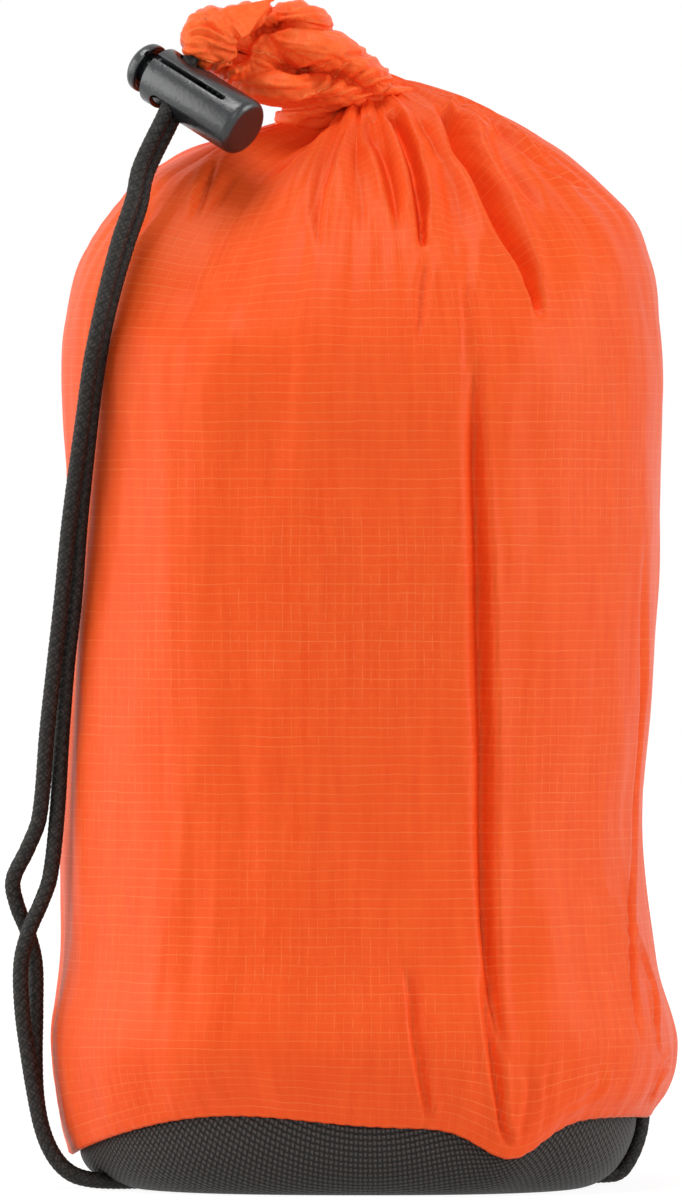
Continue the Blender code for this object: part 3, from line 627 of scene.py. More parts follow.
# The head's rim: how far in from its edge, and how far above its underside
HEAD_RIM = ((0.0, 0.00025), (0.00012, 0.00006), (0.00035, 0.0), (0.0006, 0.00008))
HEAD_HOLLOW = 0.0007
PIN_RADIUS = 0.0011
PIN_LENGTH = 0.0020
PIN_CORNER = 0.0002
TRAVEL = 0.0015
WEB = 0.0009
GROOVE_DEPTH = 0.0008
GROOVE_RUN = 0.004
GROOVE_CORNER = 0.0002
PLUNGER_EDGE = 0.0001
piston_half = hole_half(PISTON_RADIUS)
slot_top = piston_half + TRAVEL
piston_top = slot_top + 0.8 * WEB
piston_end = -piston_half - WEB
under_head = RIM + HEAD_GAP
groove_top = under_head + 0.00035


def plunger_profile():
    """Half the plunger's outline, from the crown of its head to the pin that centres the spring."""
    dome = []
    for k in range(13):
        turn = math.radians(7.5 * k)
        dome.append((HEAD_RADIUS * math.sin(turn), under_head + HEAD_EDGE + HEAD_DOME * math.cos(turn)))
    rim = [(HEAD_RADIUS - inward, under_head + rise) for inward, rise in HEAD_RIM]
    return dome + rim + [
        (STEM_RADIUS + 0.0004, under_head + HEAD_HOLLOW),
        (STEM_RADIUS, under_head + HEAD_HOLLOW - 0.0001),
        (STEM_RADIUS, piston_top),
        (PISTON_RADIUS - PISTON_CORNER, piston_top),
        (PISTON_RADIUS, piston_top - PISTON_CORNER),
        (PISTON_RADIUS, piston_end + PISTON_CHAMFER),
        (PISTON_RADIUS - PISTON_CHAMFER, piston_end),
        (PIN_RADIUS, piston_end),
        (PIN_RADIUS, piston_end - PIN_LENGTH + PIN_CORNER),
        (PIN_RADIUS - PIN_CORNER, piston_end - PIN_LENGTH),
        (0.0, piston_end - PIN_LENGTH),
    ]


outline = plunger_profile()
mesh = bpy.data.meshes.new("lock_plunger")
mesh.from_pydata([(r, 0.0, z) for r, z in outline], [(k, k + 1) for k in range(len(outline) - 1)], [])
plunger = add_object("lock_plunger", mesh)
only(plunger)
bpy.ops.object.mode_set(mode="EDIT")
bpy.ops.mesh.select_all(action="SELECT")
bpy.ops.mesh.spin(steps=80, angle=math.tau, center=(0, 0, 0), axis=(0, 0, 1))
bpy.ops.mesh.select_all(action="SELECT")
bpy.ops.mesh.remove_doubles(threshold=0.000005)
bpy.ops.mesh.normals_make_consistent(inside=False)
bpy.ops.object.mode_set(mode="OBJECT")
cut(plunger, upright_bar(2 * PAIR_HALF, HOLE_RUN, -piston_half, slot_top, 0.0, HOLE_CORNER))
groove_middle = STEM_RADIUS - GROOVE_DEPTH + GROOVE_RUN / 2
groove = (KEYWAY_WIDTH, GROOVE_RUN, piston_top, groove_top, groove_middle, GROOVE_CORNER, KEYWAY_TURN)
cut(plunger, upright_bar(*groove))
soften_edges(plunger, PLUNGER_EDGE, 2)
print("plunger", [round(1000 * v, 2) for v in plunger.dimensions], "mm")

# %% Moulded black plastic
# Acetal is moulded to a satin black, with a fine eroded grain and a few dull, rubbed patches
plastic = Finish("black moulded plastic", (0.018, 0.019, 0.021), 0.34)
place = plastic.own_place()
patches = plastic.noise(place, 420.0, 4.0, 0.6)
tone = plastic.mixed(patches, (0.006, 0.007, 0.008), (0.018, 0.020, 0.022))
plastic.look(colour=tone, rough=plastic.scaled(patches, 0.28, 0.10), specular=0.65)
grain = plastic.noise(place, 6500.0, 2.0)
plastic.bump(plastic.scaled(grain, 0.4, plastic.noise(place, 2200.0, 3.0)), 0.000050)
for piece, body, node in (
    (barrel, "cord_lock", "cord_lock_barrel"),
    (plunger, "plunger", "cord_lock_plunger"),
):
    piece.data.transform(LOCK)
    set_finish(piece, plastic)
    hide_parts(node)
    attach(piece, body)

# %% The spring
SPRING_WIRE = 0.0005
SPRING_REACH = 0.00215
SPRING_TURNS = 7
SPRING_SPACE = 0.0003
WIRE_STEPS = 28 * SPRING_TURNS
spring_top = piston_end - SPRING_SPACE - SPRING_WIRE / 2
spring_foot = closed_end + END_WALL + SPRING_SPACE + SPRING_WIRE / 2
spring_length = spring_top - spring_foot
coil_data = bpy.data.curves.new("lock_spring", "CURVE")
coil_data.dimensions = "3D"
coil_data.bevel_depth = SPRING_WIRE / 2
coil_data.bevel_resolution = 3
coil_data.use_fill_caps = True
coil = coil_data.splines.new("POLY")
coil.points.add(WIRE_STEPS)
share = np.linspace(0.0, 1.0, WIRE_STEPS + 1)
wire = from_polar(math.tau * SPRING_TURNS * share, SPRING_REACH, spring_top - spring_length * share)
for spot, place in zip(coil.points, wire):
    spot.co = (*place, 1.0)
only(add_object("lock_spring", coil_data))
bpy.ops.object.convert(target="MESH")
spring = bpy.context.active_object
spring.data.transform(LOCK)
steel = Finish("spring steel", (0.56, 0.56, 0.57), 0.28, 1.0)
steel.look(rough=steel.scaled(steel.noise(steel.own_place(), 3000.0), 0.25, 0.18))
set_finish(spring, steel)
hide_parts("cord_lock_spring")
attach(spring, "cord_lock")
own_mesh(spring)
print("spring", round(1000 * spring_length, 1), "mm long at rest")


# %% [markdown]
# ## The sack
#
# The sack is a tube of ripstop nylon. Stuffed tight, it takes the shape of what is in it, with long
# soft folds where it is slack and sharp pleats where the mouth gathers it. It is lofted from a table
# of how far the cloth stands out at each height, and then each fold is pressed in along a line that
# was read off the photograph. A lofted skin with drawn folds puts each fold where it was seen.

# %% The sack's form
SACK_WIDTH = 0.0856
SACK_DEPTH = 0.0800
SEAM_HEIGHT = 0.0092
SEAM_TILT = 0.0025
SEAM_BLEND = 0.10
NECK_HEIGHT = 0.1551
NECK_SLOPE = 0.35
NECK_SHIFT = 0.04 * SACK_WIDTH
NECK_BLEND = 0.90
SQUARENESS = 2.3
# Each row: how far up the sack, and how far it stands out left, right, front and back
FORM_SHARES = np.array((
    (0.000, 0.985, 0.968, 0.965, 0.965),
    (0.022, 1.008, 1.012, 1.000, 1.000),
    (0.073, 1.044, 1.049, 1.040, 1.040),
    (0.160, 1.016, 0.990, 1.010, 1.005),
    (0.284, 1.014, 0.946, 0.985, 0.990),
    (0.433, 1.005, 0.978, 0.990, 0.985),
    (0.624, 0.995, 0.995, 1.000, 0.990),
    (0.788, 1.000, 0.995, 0.955, 0.985),
    (0.849, 0.945, 0.966, 0.840, 0.935),
    (0.904, 0.822, 0.868, 0.680, 0.810),
    (0.952, 0.690, 0.610, 0.500, 0.600),
    (0.982, 0.525, 0.370, 0.330, 0.360),
    (1.000, 0.305, 0.145, 0.190, 0.130),
))
# Where the seam bows up and is pinched down: angle, half-width as an angle, and height
SEAM_WAVES = ((-121.0, 29.0, 0.0038), (-58.5, 9.5, -0.0049), (180.0, 26.0, -0.0019), (0.0, 26.0, -0.0014))


def smooth_step(low, high, value):
    share = np.clip((value - low) / (high - low), 0.0, 1.0)
    return share * share * (3.0 - 2.0 * share)


def smooth_rows(share, column):
    """Reads one column of the form smoothly between its rows."""
    rows, values = FORM_SHARES[:, 0], FORM_SHARES[:, column]
    slopes = np.gradient(values, rows)
    k = np.clip(np.searchsorted(rows, share) - 1, 0, len(rows) - 2)
    span = rows[k + 1] - rows[k]
    t = np.clip((share - rows[k]) / span, 0.0, 1.0)
    return hermite(t, values[k], slopes[k] * span, values[k + 1], slopes[k + 1] * span)


def outline_reach(turn, left, right, front, back):
    across = np.where(np.cos(turn) > 0, right, left) * SACK_WIDTH / 2
    deep = np.where(np.sin(turn) > 0, back, front) * SACK_DEPTH / 2
    total = np.abs(np.cos(turn) / across) ** SQUARENESS + np.abs(np.sin(turn) / deep) ** SQUARENESS
    return total ** (-1.0 / SQUARENESS)


def bell(distance, half_width):
    """1 in the middle, falling smoothly to 0 on both sides."""
    return np.exp(-((distance / half_width) ** 2))


def apart(turn, middle):
    """The angle between two directions, in degrees."""
    return (np.degrees(turn) - middle + 180.0) % 360.0 - 180.0


def seam_height(turn):
    """The base seam: higher on the right, bowed up at the front left, and pinched at the side seam."""
    waves = sum(rise * bell(apart(turn, middle), half_width) for middle, half_width, rise in SEAM_WAVES)
    return SEAM_HEIGHT + SEAM_TILT * np.cos(turn) + waves


def plain_sack(turn, share):
    """A point on the sack before its folds, from the seam at share 0 to the neck at share 1."""
    reach = outline_reach(turn, *(smooth_rows(share, k) for k in (1, 2, 3, 4)))
    level = SEAM_HEIGHT + share * (NECK_HEIGHT - SEAM_HEIGHT)
    level = level + (seam_height(turn) - SEAM_HEIGHT) * (1.0 - smooth_step(0.0, SEAM_BLEND, share))
    rim = outline_reach(turn, *FORM_SHARES[-1][1:]) * np.cos(turn)
    level = level + NECK_SLOPE * (rim + NECK_SHIFT) * smooth_step(NECK_BLEND, 1.0, share)
    return from_polar(turn, reach, level)


# %% Lay out the grid of cloth
AROUND = 408
RINGS = 240
CLOTH_ROUND = 0.272
FRONT_CROWDING = 0.35
# How crowded the rings are at each height, so that the seam and the neck have the most
CROWDED_SHARES = (0.0, 0.10, 0.16, 0.66, 0.76, 1.0)
CROWDING = (1.5, 1.5, 0.6, 0.6, 1.8, 1.8)


def mean_steps(rings):
    """How far it is from each ring of points to the next, on average round them."""
    return np.linalg.norm(np.diff(rings, axis=0), axis=2).mean(axis=1)


sweep = math.tau * (np.arange(AROUND) / AROUND + 0.5)
ring_turn = sweep - FRONT_CROWDING * np.sin(sweep) - math.pi / 2
fine_share = np.linspace(0.0, 1.0, 1500)
four_rows = plain_sack(*np.meshgrid(np.radians((-90.0, 0.0, 90.0, 180.0)), fine_share))
ring_count = running(mean_steps(four_rows) * np.interp(fine_share[1:], CROWDED_SHARES, CROWDING))
ring_share = np.interp(np.linspace(0.0, ring_count[-1], RINGS), ring_count, fine_share)
turns, shares = np.meshgrid(ring_turn, ring_share)
plain = plain_sack(turns, shares)
normals = unit(np.cross(np.roll(plain, -1, axis=1) - np.roll(plain, 1, axis=1), np.gradient(plain, axis=0)))
climb = running(mean_steps(plain))[:, None]
to_neck = climb[-1] - climb
print("cloth from seam to neck", round(1000 * climb[-1, 0]), "mm")

# %% Find spots on the plain sack
plain_tree = BVHTree.FromPolygons(plain.reshape(-1, 3).tolist(), grid_faces(RINGS, AROUND, closed=True))


def mm(*values):
    """Values in millimetres as a vector in metres."""
    return Vector([0.001 * value for value in values])


def sight(tree, place):
    """Where the camera's line of sight to a place meets a surface."""
    return tree.ray_cast(camera.location, (place - camera.location).normalized())[0]


def seen_from_front(x, z):
    """Where the camera sees the plain sack at this place in the picture's plane, in millimetres."""
    place = mm(x, 0.0, z)
    hit = sight(plain_tree, place)
    if hit and hit.y < 0.0:
        return hit
    return plain_tree.find_nearest(place - Vector((0.0, SACK_DEPTH / 2, 0.0)))[0]


def at_angle(degrees, z):
    """A spot on the plain sack at this angle and height, in degrees and millimetres."""
    column = plain_sack(np.full(fine_share.shape, math.radians(degrees)), fine_share)
    return Vector([float(np.interp(0.001 * z, column[:, 2], column[:, k])) for k in range(3)])


# %% Folds drawn along lines
FINEST_FOLD = 0.00045
FOLD_STEP = 0.0004
FOLD_REACH = 5.0
FOLD_TAPER = 0.65
TAPER_START = 0.6
TROUGH_CURVE = 1.3
LIP_PLACE = 2.2


def press_fold(line, depth, widths, lip=0.3, fades=(0.2, 0.2)):
    """How far the cloth moves for one fold: in along the line, and a little out beside it."""
    points = even_steps(smooth_path(line, 14), FOLD_STEP)[0]
    flat = plain.reshape(-1, 3)
    reach = FOLD_REACH * max(widths)
    near = np.all((flat > points.min(axis=0) - reach) & (flat < points.max(axis=0) + reach), axis=1)
    spots = flat[near]
    gaps = np.linalg.norm(spots[:, None] - points, axis=2)
    nearest = gaps.argmin(axis=1)
    across = np.cross(normals.reshape(-1, 3)[near], unit(np.gradient(points, axis=0))[nearest])
    side = np.einsum("ij,ij->i", spots - points[nearest], across)
    along = nearest / (len(points) - 1)
    narrow = 1.0 - FOLD_TAPER * smooth_step(TAPER_START, 1.0, along)
    spread = gaps.min(axis=1) / np.maximum(np.where(side < 0.0, *widths) * narrow, FINEST_FOLD)
    fade = smooth_step(0.0, fades[0], along) * (1.0 - smooth_step(1.0 - fades[1], 1.0, along))
    pressed = np.zeros(len(flat))
    pressed[near] = fade * depth * (lip * bell(spread - LIP_PLACE, 1.0) - np.exp(-(spread**TROUGH_CURVE)))
    return pressed.reshape(turns.shape)


# Each fold, down the sack: depth, half-widths to the left and right, lip and how its ends fade,
# and its line as places in the picture, in millimetres
FRONT_FOLDS = (
    (3.6, (1.3, 0.6), 0.08, (0.30, 0.10),
     ((15.4, 128.1), (16.3, 115.0), (16.7, 104.4), (17.3, 90.0), (17.8, 72.7), (18.1, 61.2),
      (18.2, 39.3), (18.9, 29.9), (19.8, 22.0), (20.7, 16.2))),
    (-0.9, (0.5, 2.6), 0.0, (0.30, 0.20),
     ((17.6, 115.0), (18.0, 104.4), (18.6, 90.0), (19.1, 72.7), (19.4, 61.2), (19.5, 39.3),
      (20.2, 29.9), (21.1, 22.0))),
    (1.8, (0.6, 0.6), 0.30, (0.30, 0.05),
     ((17.5, 33.0), (17.8, 28.0), (18.4, 22.0), (19.3, 15.8), (19.8, 12.0), (20.2, 8.5), (21.3, 5.5))),
    (0.5, (0.5, 0.6), 0.30, (0.3, 0.3),
     ((13.9, 131.5), (14.3, 129.4), (14.8, 125.0), (15.0, 119.0), (14.8, 115.3))),
    (0.9, (1.5, 1.2), 0.30, (0.2, 0.2), ((12.3, 153.5), (13.4, 146.8), (14.2, 139.6), (15.4, 124.5))),
    (3.0, (0.8, 1.0), 0.10, (0.5, 0.15),
     ((40.2, 98.6), (40.4, 80.0), (39.9, 61.2), (39.3, 48.0), (38.6, 39.3), (38.8, 29.9), (39.6, 22.7),
      (40.4, 19.5))),
    (1.4, (0.8, 0.8), 0.30, (0.2, 0.2), ((40.8, 46.2), (41.6, 29.9), (42.4, 22.0), (43.1, 17.4))),
    (0.9, (0.6, 0.6), 0.40, (0.2, 0.2), ((44.6, 18.6), (43.1, 16.4), (41.9, 13.7), (41.2, 11.5))),
    (1.1, (0.5, 1.0), 0.35, (0.3, 0.06),
     ((4.8, 34.6), (6.7, 28.9), (7.4, 22.4), (8.3, 16.0), (9.4, 11.0), (10.1, 8.9))),
    (0.6, (0.6, 0.6), 0.30, (0.3, 0.2), ((23.1, 18.1), (24.1, 13.8), (23.2, 8.8), (22.5, 5.2))),
    (0.5, (0.4, 0.6), 0.30, (0.3, 0.2), ((27.4, 20.3), (26.5, 15.5), (26.4, 11.6), (25.4, 6.9))),
    (0.4, (0.6, 0.6), 0.30, (0.3, 0.3), ((33.0, 18.8), (34.1, 14.1), (33.6, 9.2))),
    (3.4, (0.9, 0.6), 0.15, (0.1, 0.12),
     ((4.2, 155.0), (6.3, 150.6), (7.6, 146.0), (8.5, 141.0), (8.6, 136.6), (9.0, 134.4))),
    (-1.0, (1.6, 0.6), 0.0, (0.1, 0.3),
     ((3.6, 153.0), (5.1, 149.2), (6.3, 145.4), (6.9, 141.0), (7.1, 137.0))),
    (0.7, (0.6, 0.6), 0.30, (0.3, 0.3), ((9.4, 134.6), (8.7, 129.5), (8.3, 124.5), (7.8, 120.5))),
    (5.2, (1.3, 1.3), 0.14, (0.08, 0.10),
     ((12.0, 155.5), (14.5, 150.7), (17.1, 146.4), (19.3, 141.3), (21.5, 136.9), (23.6, 132.9),
      (24.6, 129.4), (25.9, 124.4))),
    (-0.9, (0.8, 1.8), 0.0, (0.15, 0.5), ((17.0, 154.0), (21.0, 151.4), (25.0, 148.9), (28.0, 147.2))),
    (1.4, (0.7, 1.3), 0.30, (0.1, 0.3),
     ((16.6, 154.7), (20.6, 150.7), (24.1, 147.9), (28.4, 145.2), (34.4, 142.3))),
    (1.2, (0.9, 1.5), 0.30, (0.1, 0.3), ((18.0, 151.8), (20.9, 146.3), (23.8, 142.5), (26.5, 138.7))),
    (1.2, (0.8, 0.8), 0.30, (0.1, 0.3), ((9.7, 158.4), (15.4, 155.4), (22.6, 150.7), (31.0, 144.0))),
    (1.0, (0.9, 0.4), 0.30, (0.1, 0.3),
     ((-2.2, 153.2), (-4.5, 147.5), (-5.7, 142.5), (-6.3, 137.4), (-6.5, 132.8))),
    (0.6, (1.0, 1.0), 0.30, (0.1, 0.3), ((-0.9, 153.5), (-1.1, 148.9), (-0.2, 143.2), (0.2, 136.0))),
    (0.9, (0.7, 0.5), 0.20, (0.3, 0.4),
     ((-20.5, 148.5), (-22.1, 146.1), (-23.8, 142.6), (-25.9, 138.5))),
    (0.3, (0.7, 0.7), 0.20, (0.3, 0.4), ((-18.5, 147.5), (-20.9, 144.0), (-22.5, 140.9))),
    (0.8, (0.8, 0.8), 0.30, (0.1, 0.3), ((-4.1, 153.8), (-8.6, 151.2), (-12.3, 148.8), (-15.0, 147.1))),
    (1.6, (0.8, 1.0), 0.30, (0.1, 0.3),
     ((0.5, 154.1), (1.5, 150.7), (3.2, 147.8), (4.5, 143.2), (5.2, 136.7))),
    (0.8, (1.2, 0.9), 0.30, (0.1, 0.4),
     ((8.0, 154.4), (10.6, 148.9), (12.3, 143.2), (12.9, 136.0), (13.1, 127.4))),
    (0.5, (4.0, 4.0), 0.10, (0.2, 0.3),
     ((-16.2, 131.7), (-15.6, 123.1), (-14.5, 110.1), (-13.6, 95.7))),
)
# The folds that the front doesn't show: depth and half-width, and the line as angles and heights
BACK_FOLDS = (
    (1.6, 1.3, ((15.0, 156.0), (18.0, 146.0), (22.0, 128.0), (24.0, 108.0))),
    (1.3, 1.0, ((34.0, 156.0), (33.0, 150.0), (35.0, 142.0), (36.0, 134.0))),
    (1.8, 1.3, ((54.0, 155.0), (51.0, 146.0), (47.0, 132.0), (46.0, 120.0))),
    (1.1, 0.8, ((68.0, 155.0), (69.0, 149.0), (71.0, 142.0), (72.0, 135.0))),
    (2.1, 1.5, ((87.0, 154.0), (86.0, 146.0), (84.0, 132.0), (80.0, 112.0))),
    (1.0, 0.9, ((101.0, 153.0), (99.0, 148.0), (97.0, 141.0), (97.0, 134.0))),
    (1.6, 1.2, ((119.0, 153.0), (116.0, 147.0), (112.0, 136.0), (110.0, 124.0))),
    (1.2, 0.9, ((134.0, 152.0), (135.0, 147.0), (133.0, 140.0), (131.0, 131.0))),
    (1.8, 1.3, ((147.0, 152.0), (149.0, 144.0), (153.0, 132.0), (156.0, 118.0))),
    (1.1, 1.0, ((178.0, 151.0), (177.0, 146.0), (174.0, 138.0), (173.0, 128.0))),
    (0.9, 1.0, ((-149.0, 142.0), (-151.0, 134.0), (-152.0, 126.0), (-152.0, 117.0))),
    (1.5, 1.4, ((97.0, 62.0), (98.0, 40.0), (99.0, 24.0), (101.0, 10.0))),
    (1.0, 1.1, ((59.0, 36.0), (59.0, 26.0), (58.0, 18.0), (57.0, 10.0))),
    (1.2, 1.3, ((163.0, 48.0), (164.0, 34.0), (166.0, 22.0), (168.0, 9.0))),
    (0.9, 1.8, ((36.0, 92.0), (34.0, 72.0), (36.0, 52.0), (38.0, 36.0))),
    (0.7, 0.9, ((126.0, 30.0), (128.0, 22.0), (127.0, 15.0), (128.0, 9.0))),
    (0.6, 0.8, ((12.0, 32.0), (14.0, 24.0), (13.0, 18.0), (15.0, 13.0))),
    (0.7, 0.8, ((-168.0, 28.0), (-170.0, 20.0), (-169.0, 14.0), (-170.0, 8.0))),
)
moved = np.zeros(turns.shape)
for depth, widths, lip, fades, line in FRONT_FOLDS:
    moved += press_fold([seen_from_front(*place) for place in line], 0.001 * depth, mm(*widths), lip, fades)
for depth, width, line in BACK_FOLDS:
    moved += press_fold([at_angle(*place) for place in line], 0.001 * depth, mm(width, width))
print("deepest fold", round(1000 * float(-moved.min()), 1), "mm")

# %% The hollow that the cord lock rests over
HOLLOW_ANGLE = -127.0
HOLLOW_HALF = 15.0
HOLLOW_DEPTH = 0.0027
HOLLOW_LOW = 0.130
HOLLOW_HIGH = 0.152
HOLLOW_FADE = 0.010
hollow = HOLLOW_DEPTH * bell(apart(turns, HOLLOW_ANGLE), HOLLOW_HALF)
hollow *= smooth_step(HOLLOW_LOW - HOLLOW_FADE, HOLLOW_LOW, plain[:, :, 2])
hollow *= 1.0 - smooth_step(HOLLOW_HIGH, HOLLOW_HIGH + HOLLOW_FADE, plain[:, :, 2])
moved -= hollow
print("hollow", round(1000 * float(hollow.max()), 1), "mm deep")

# %% Pleats at the neck and slack in the cloth
PLEATS = 26
PLEAT_SIZE = 0.0013
PLEAT_RUN = 0.018
LONG_SLACK = 0.00055
SHORT_SLACK = 0.00016
END_SLACK = 0.00034
NECK_SLACK_RUN = 0.040
SEAM_SLACK_RUN = 0.030
PUCKER_SIZE = 0.00030
NECK_PUCKER_RUN = 0.020
SEAM_PUCKER_RUN = 0.006
SEAM_HOLD = 0.004
SEAM_STITCH = 0.0024
SEAM_SCALLOP = 0.00022
SCALLOP_RUN = 0.0012


def pleat_wave(turn):
    """Uneven ridges with sharp valleys between them."""
    uneven = turn + 0.16 * np.sin(2 * turn + 0.7) + 0.10 * np.sin(5 * turn + 2.0)
    ridge = np.abs(np.sin(PLEATS * uneven / 2))
    size = 0.75 + 0.25 * np.sin(3 * turn + 1.0) + 0.2 * np.sin(7 * turn)
    return (ridge**0.7 - 0.6) * size


def noise_at(spots, octaves=1):
    """Smooth random values, one for each point."""
    found = [noise.fractal(Vector(spot), 1.0, 2.0, octaves) for spot in spots.reshape(-1, 3)]
    return np.array(found).reshape(spots.shape[:-1])


def cloth_noise(scale_round, scale_up, seed, octaves=2):
    """Smooth random slack, long up the sack and short round it."""
    return noise_at(from_polar(ring_turn, scale_round, climb * scale_up + seed), octaves)


# The pleats run down unequally far
pleat_run = PLEAT_RUN + 0.0075 * (1.0 + np.sin(4 * turns + 0.5)) + 0.006 * (1.0 + np.sin(9 * turns))
pleat_fade = np.exp(-((to_neck / pleat_run) ** 1.5)) * smooth_step(-0.003, 0.002, to_neck)
moved += PLEAT_SIZE * pleat_wave(turns) * pleat_fade
near_end = np.exp(-to_neck / NECK_SLACK_RUN) + 0.8 * np.exp(-climb / SEAM_SLACK_RUN)
nearest_end = 0.5 * np.exp(-to_neck / NECK_PUCKER_RUN) + np.exp(-climb / SEAM_PUCKER_RUN)
moved += LONG_SLACK * cloth_noise(3.2, 16.0, 3.0, 3)
moved += (SHORT_SLACK + END_SLACK * near_end) * cloth_noise(9.0, 60.0, 11.0)
moved += PUCKER_SIZE * nearest_end * cloth_noise(26.0, 110.0, 23.0)
moved *= smooth_step(-0.0005, SEAM_HOLD, climb)
scallops = np.abs(np.sin(turns / 2 * CLOTH_ROUND / SEAM_STITCH))
moved += SEAM_SCALLOP * (scallops - 0.6) * np.exp(-climb / SCALLOP_RUN)
print("slack added")

# %% [markdown]
# ### Ripstop nylon
#
# Ripstop has a doubled thread about every 1.35 mm both ways. Those that run round the sack catch the
# light as crisp lines, and those that run up it show as broken, speckled ones. The grid is drawn in
# the cloth's own flat coordinates, so that it bends with every fold. Uneven tension shows as faint
# streaks along the cloth, and the yarn gives a fine grain.

# %% Orange ripstop
RIPSTOP_STEP = 0.00135
RIPSTOP_HALF = 0.10
ORANGE_DEEP = (0.86, 0.070, 0.008)
ORANGE_MAIN = (0.95, 0.116, 0.018)
ORANGE_LIGHT = (1.0, 0.30, 0.095)
# The tuft's two oranges are the sack's ripstop painted lighter: painted light for the lamp light that the
# tuft's front lacks
HEM_DEEP_PAINTED_LIT = (0.96, 0.088, 0.012)
HEM_ORANGE_PAINTED_LIT = (1.0, 0.16, 0.034)
SHEEN_TINT = (1.0, 0.72, 0.52)


def ripstop_lines(finish, across, wander, step=RIPSTOP_STEP):
    """1 in the middle of each doubled thread, and 0 between them."""
    far = finish.maths("PINGPONG", finish.scaled(across, 1.0 / step, wander), 0.5)
    return finish.larger(finish.scaled(far, -1.0 / RIPSTOP_HALF, 1.0), 0.0)


ripstop = Finish("orange ripstop", ORANGE_MAIN, 0.42)
cloth = ripstop.cloth_place()
across, up = ripstop.split(cloth)[:2]
wander = ripstop.scaled(ripstop.noise(cloth, 130.0, 2.0), 0.5, -0.25)
level_strength = ripstop.sharpened(ripstop.stretched_noise(cloth, (0.25, 2.0), 260.0), 0.35, 0.70)
speckle = ripstop.sharpened(ripstop.stretched_noise(cloth, (1.0, 0.5), 900.0, 3.0), 0.38, 0.62)
upright_patch = ripstop.sharpened(ripstop.noise(cloth, 34.0, 2.0), 0.42, 0.60)
level_part = ripstop.times(ripstop_lines(ripstop, up, wander), ripstop.scaled(level_strength, 0.28, 0.10))
upright_part = ripstop.times(ripstop_lines(ripstop, across, wander), ripstop.times(speckle, upright_patch))
grid = ripstop.larger(level_part, ripstop.times(upright_part, 0.34))
# Lesser threads at every third of the grid's step
fine_wander = ripstop.times(wander, 3.0)
ribs, rungs = (ripstop_lines(ripstop, way, fine_wander, RIPSTOP_STEP / 3) for way in (across, up))
grid = ripstop.scaled(ripstop.times(ripstop.maths("ADD", ribs, rungs), speckle), 0.07, grid)
streaks = ripstop.stretched_noise(cloth, (1.0, 0.12), 700.0, 3.0)
grain = ripstop.noise(cloth, 4200.0, 2.0)
shade = ripstop.scaled(grain, 0.5, ripstop.scaled(streaks, 1.2, -0.35))
tone = ripstop.mixed(grid, ripstop.mixed(shade, ORANGE_DEEP, ORANGE_MAIN), ORANGE_LIGHT)
ripstop.look(colour=tone, rough=ripstop.scaled(streaks, 0.16, 0.38), specular=0.26, tint=SHEEN_TINT)
ripstop.bump(ripstop.scaled(grain, 0.30, grid), 0.00006, 0.8)

# %% Make the sack's skin
# The rings beyond the neck and the seam: their size, how far they rise and their place on the cloth
NECK_TUCK = ((0.86, 0.0006, 0.002), (0.70, 0.0012, 0.004), (0.55, 0.0016, 0.006))
HEM_TUCK = ((0.962, 0.0009, -0.0022), (0.972, 0.0001, -0.0014), (0.988, -0.0003, -0.0006))
NECK_MIDDLE = (-0.0040, -0.0015)


def drawn_in(ring, share, rise=0.0, middle=(0.0, 0.0)):
    """A copy of a ring of points, drawn in towards the middle and lifted."""
    made = ring.copy()
    made[:, :2] = (made[:, :2] - middle) * share + middle
    made[:, 2] += rise
    return made


def weld(obj):
    only(obj)
    bpy.ops.object.mode_set(mode="EDIT")
    bpy.ops.mesh.select_all(action="SELECT")
    bpy.ops.mesh.remove_doubles(threshold=0.000002)
    bpy.ops.object.mode_set(mode="OBJECT")


skin = plain + normals * moved[:, :, None]
hem = [drawn_in(skin[0], share, rise) for share, rise, run in HEM_TUCK]
tuck = [drawn_in(skin[-1], share, rise, NECK_MIDDLE) for share, rise, run in NECK_TUCK]
skin = np.array([*hem, *skin, *tuck])
below = [climb[0] + run for share, rise, run in HEM_TUCK]
beyond = [climb[-1] + run for share, rise, run in NECK_TUCK]
cloth_up = np.array([*below, *climb, *beyond])
cloth_place = np.stack(np.broadcast_arrays(ring_turn / math.tau * CLOTH_ROUND, cloth_up), axis=-1)
# The first column comes again at the end, so that the cloth has two edges where it closes
skin = np.concatenate([skin, skin[:, :1]], axis=1)
cloth_place = np.concatenate([cloth_place, cloth_place[:, :1] + (CLOTH_ROUND, 0.0)], axis=1)
sack = mesh_object("ripstop_sack", skin, grid_faces(len(skin), AROUND + 1, closed=False), ripstop)
write_cloth_place(sack, cloth_place)
weld(sack)
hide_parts("sack_body")
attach(sack, "sack")
print("sack", 2 * len(sack.data.polygons), "triangles")

# %% [markdown]
# ## The base panel
#
# The base is a stout oxford weave that curls up all round to meet the ripstop. It is lofted from the
# seam down and in to a flat underside, with a shallow groove that the cord presses into it.

# %% The base's form
BASE_SHARES = (0.948, 0.918, 0.945, 0.945)
BASE_ROUND = 0.0085
BASE_AROUND = 360
BASE_CURL_RINGS = 34
BASE_FLAT_RINGS = 60
SEAM_OVERLAP = 0.0004
TUCK_SHARE = 0.975
TUCK_RISE = 0.0016
RIPPLE = 0.0045
RIPPLE_SCALE = (90.0, 90.0, 200.0)
GROOVE_HALF = 0.0030
GROOVE_TOP = UNDER_LEFT.z + CORD_DIAMETER / 2 + 0.0004


def base_skin(turn, share):
    """From the seam at share 0 down and round to the flat underside at share 1."""
    bend = np.radians(90.0 * share)
    reach = outline_reach(turn, *BASE_SHARES) - BASE_ROUND * (1.0 - np.cos(bend))
    return from_polar(turn, reach, (seam_height(turn) + SEAM_OVERLAP) * (1.0 - np.sin(bend)))


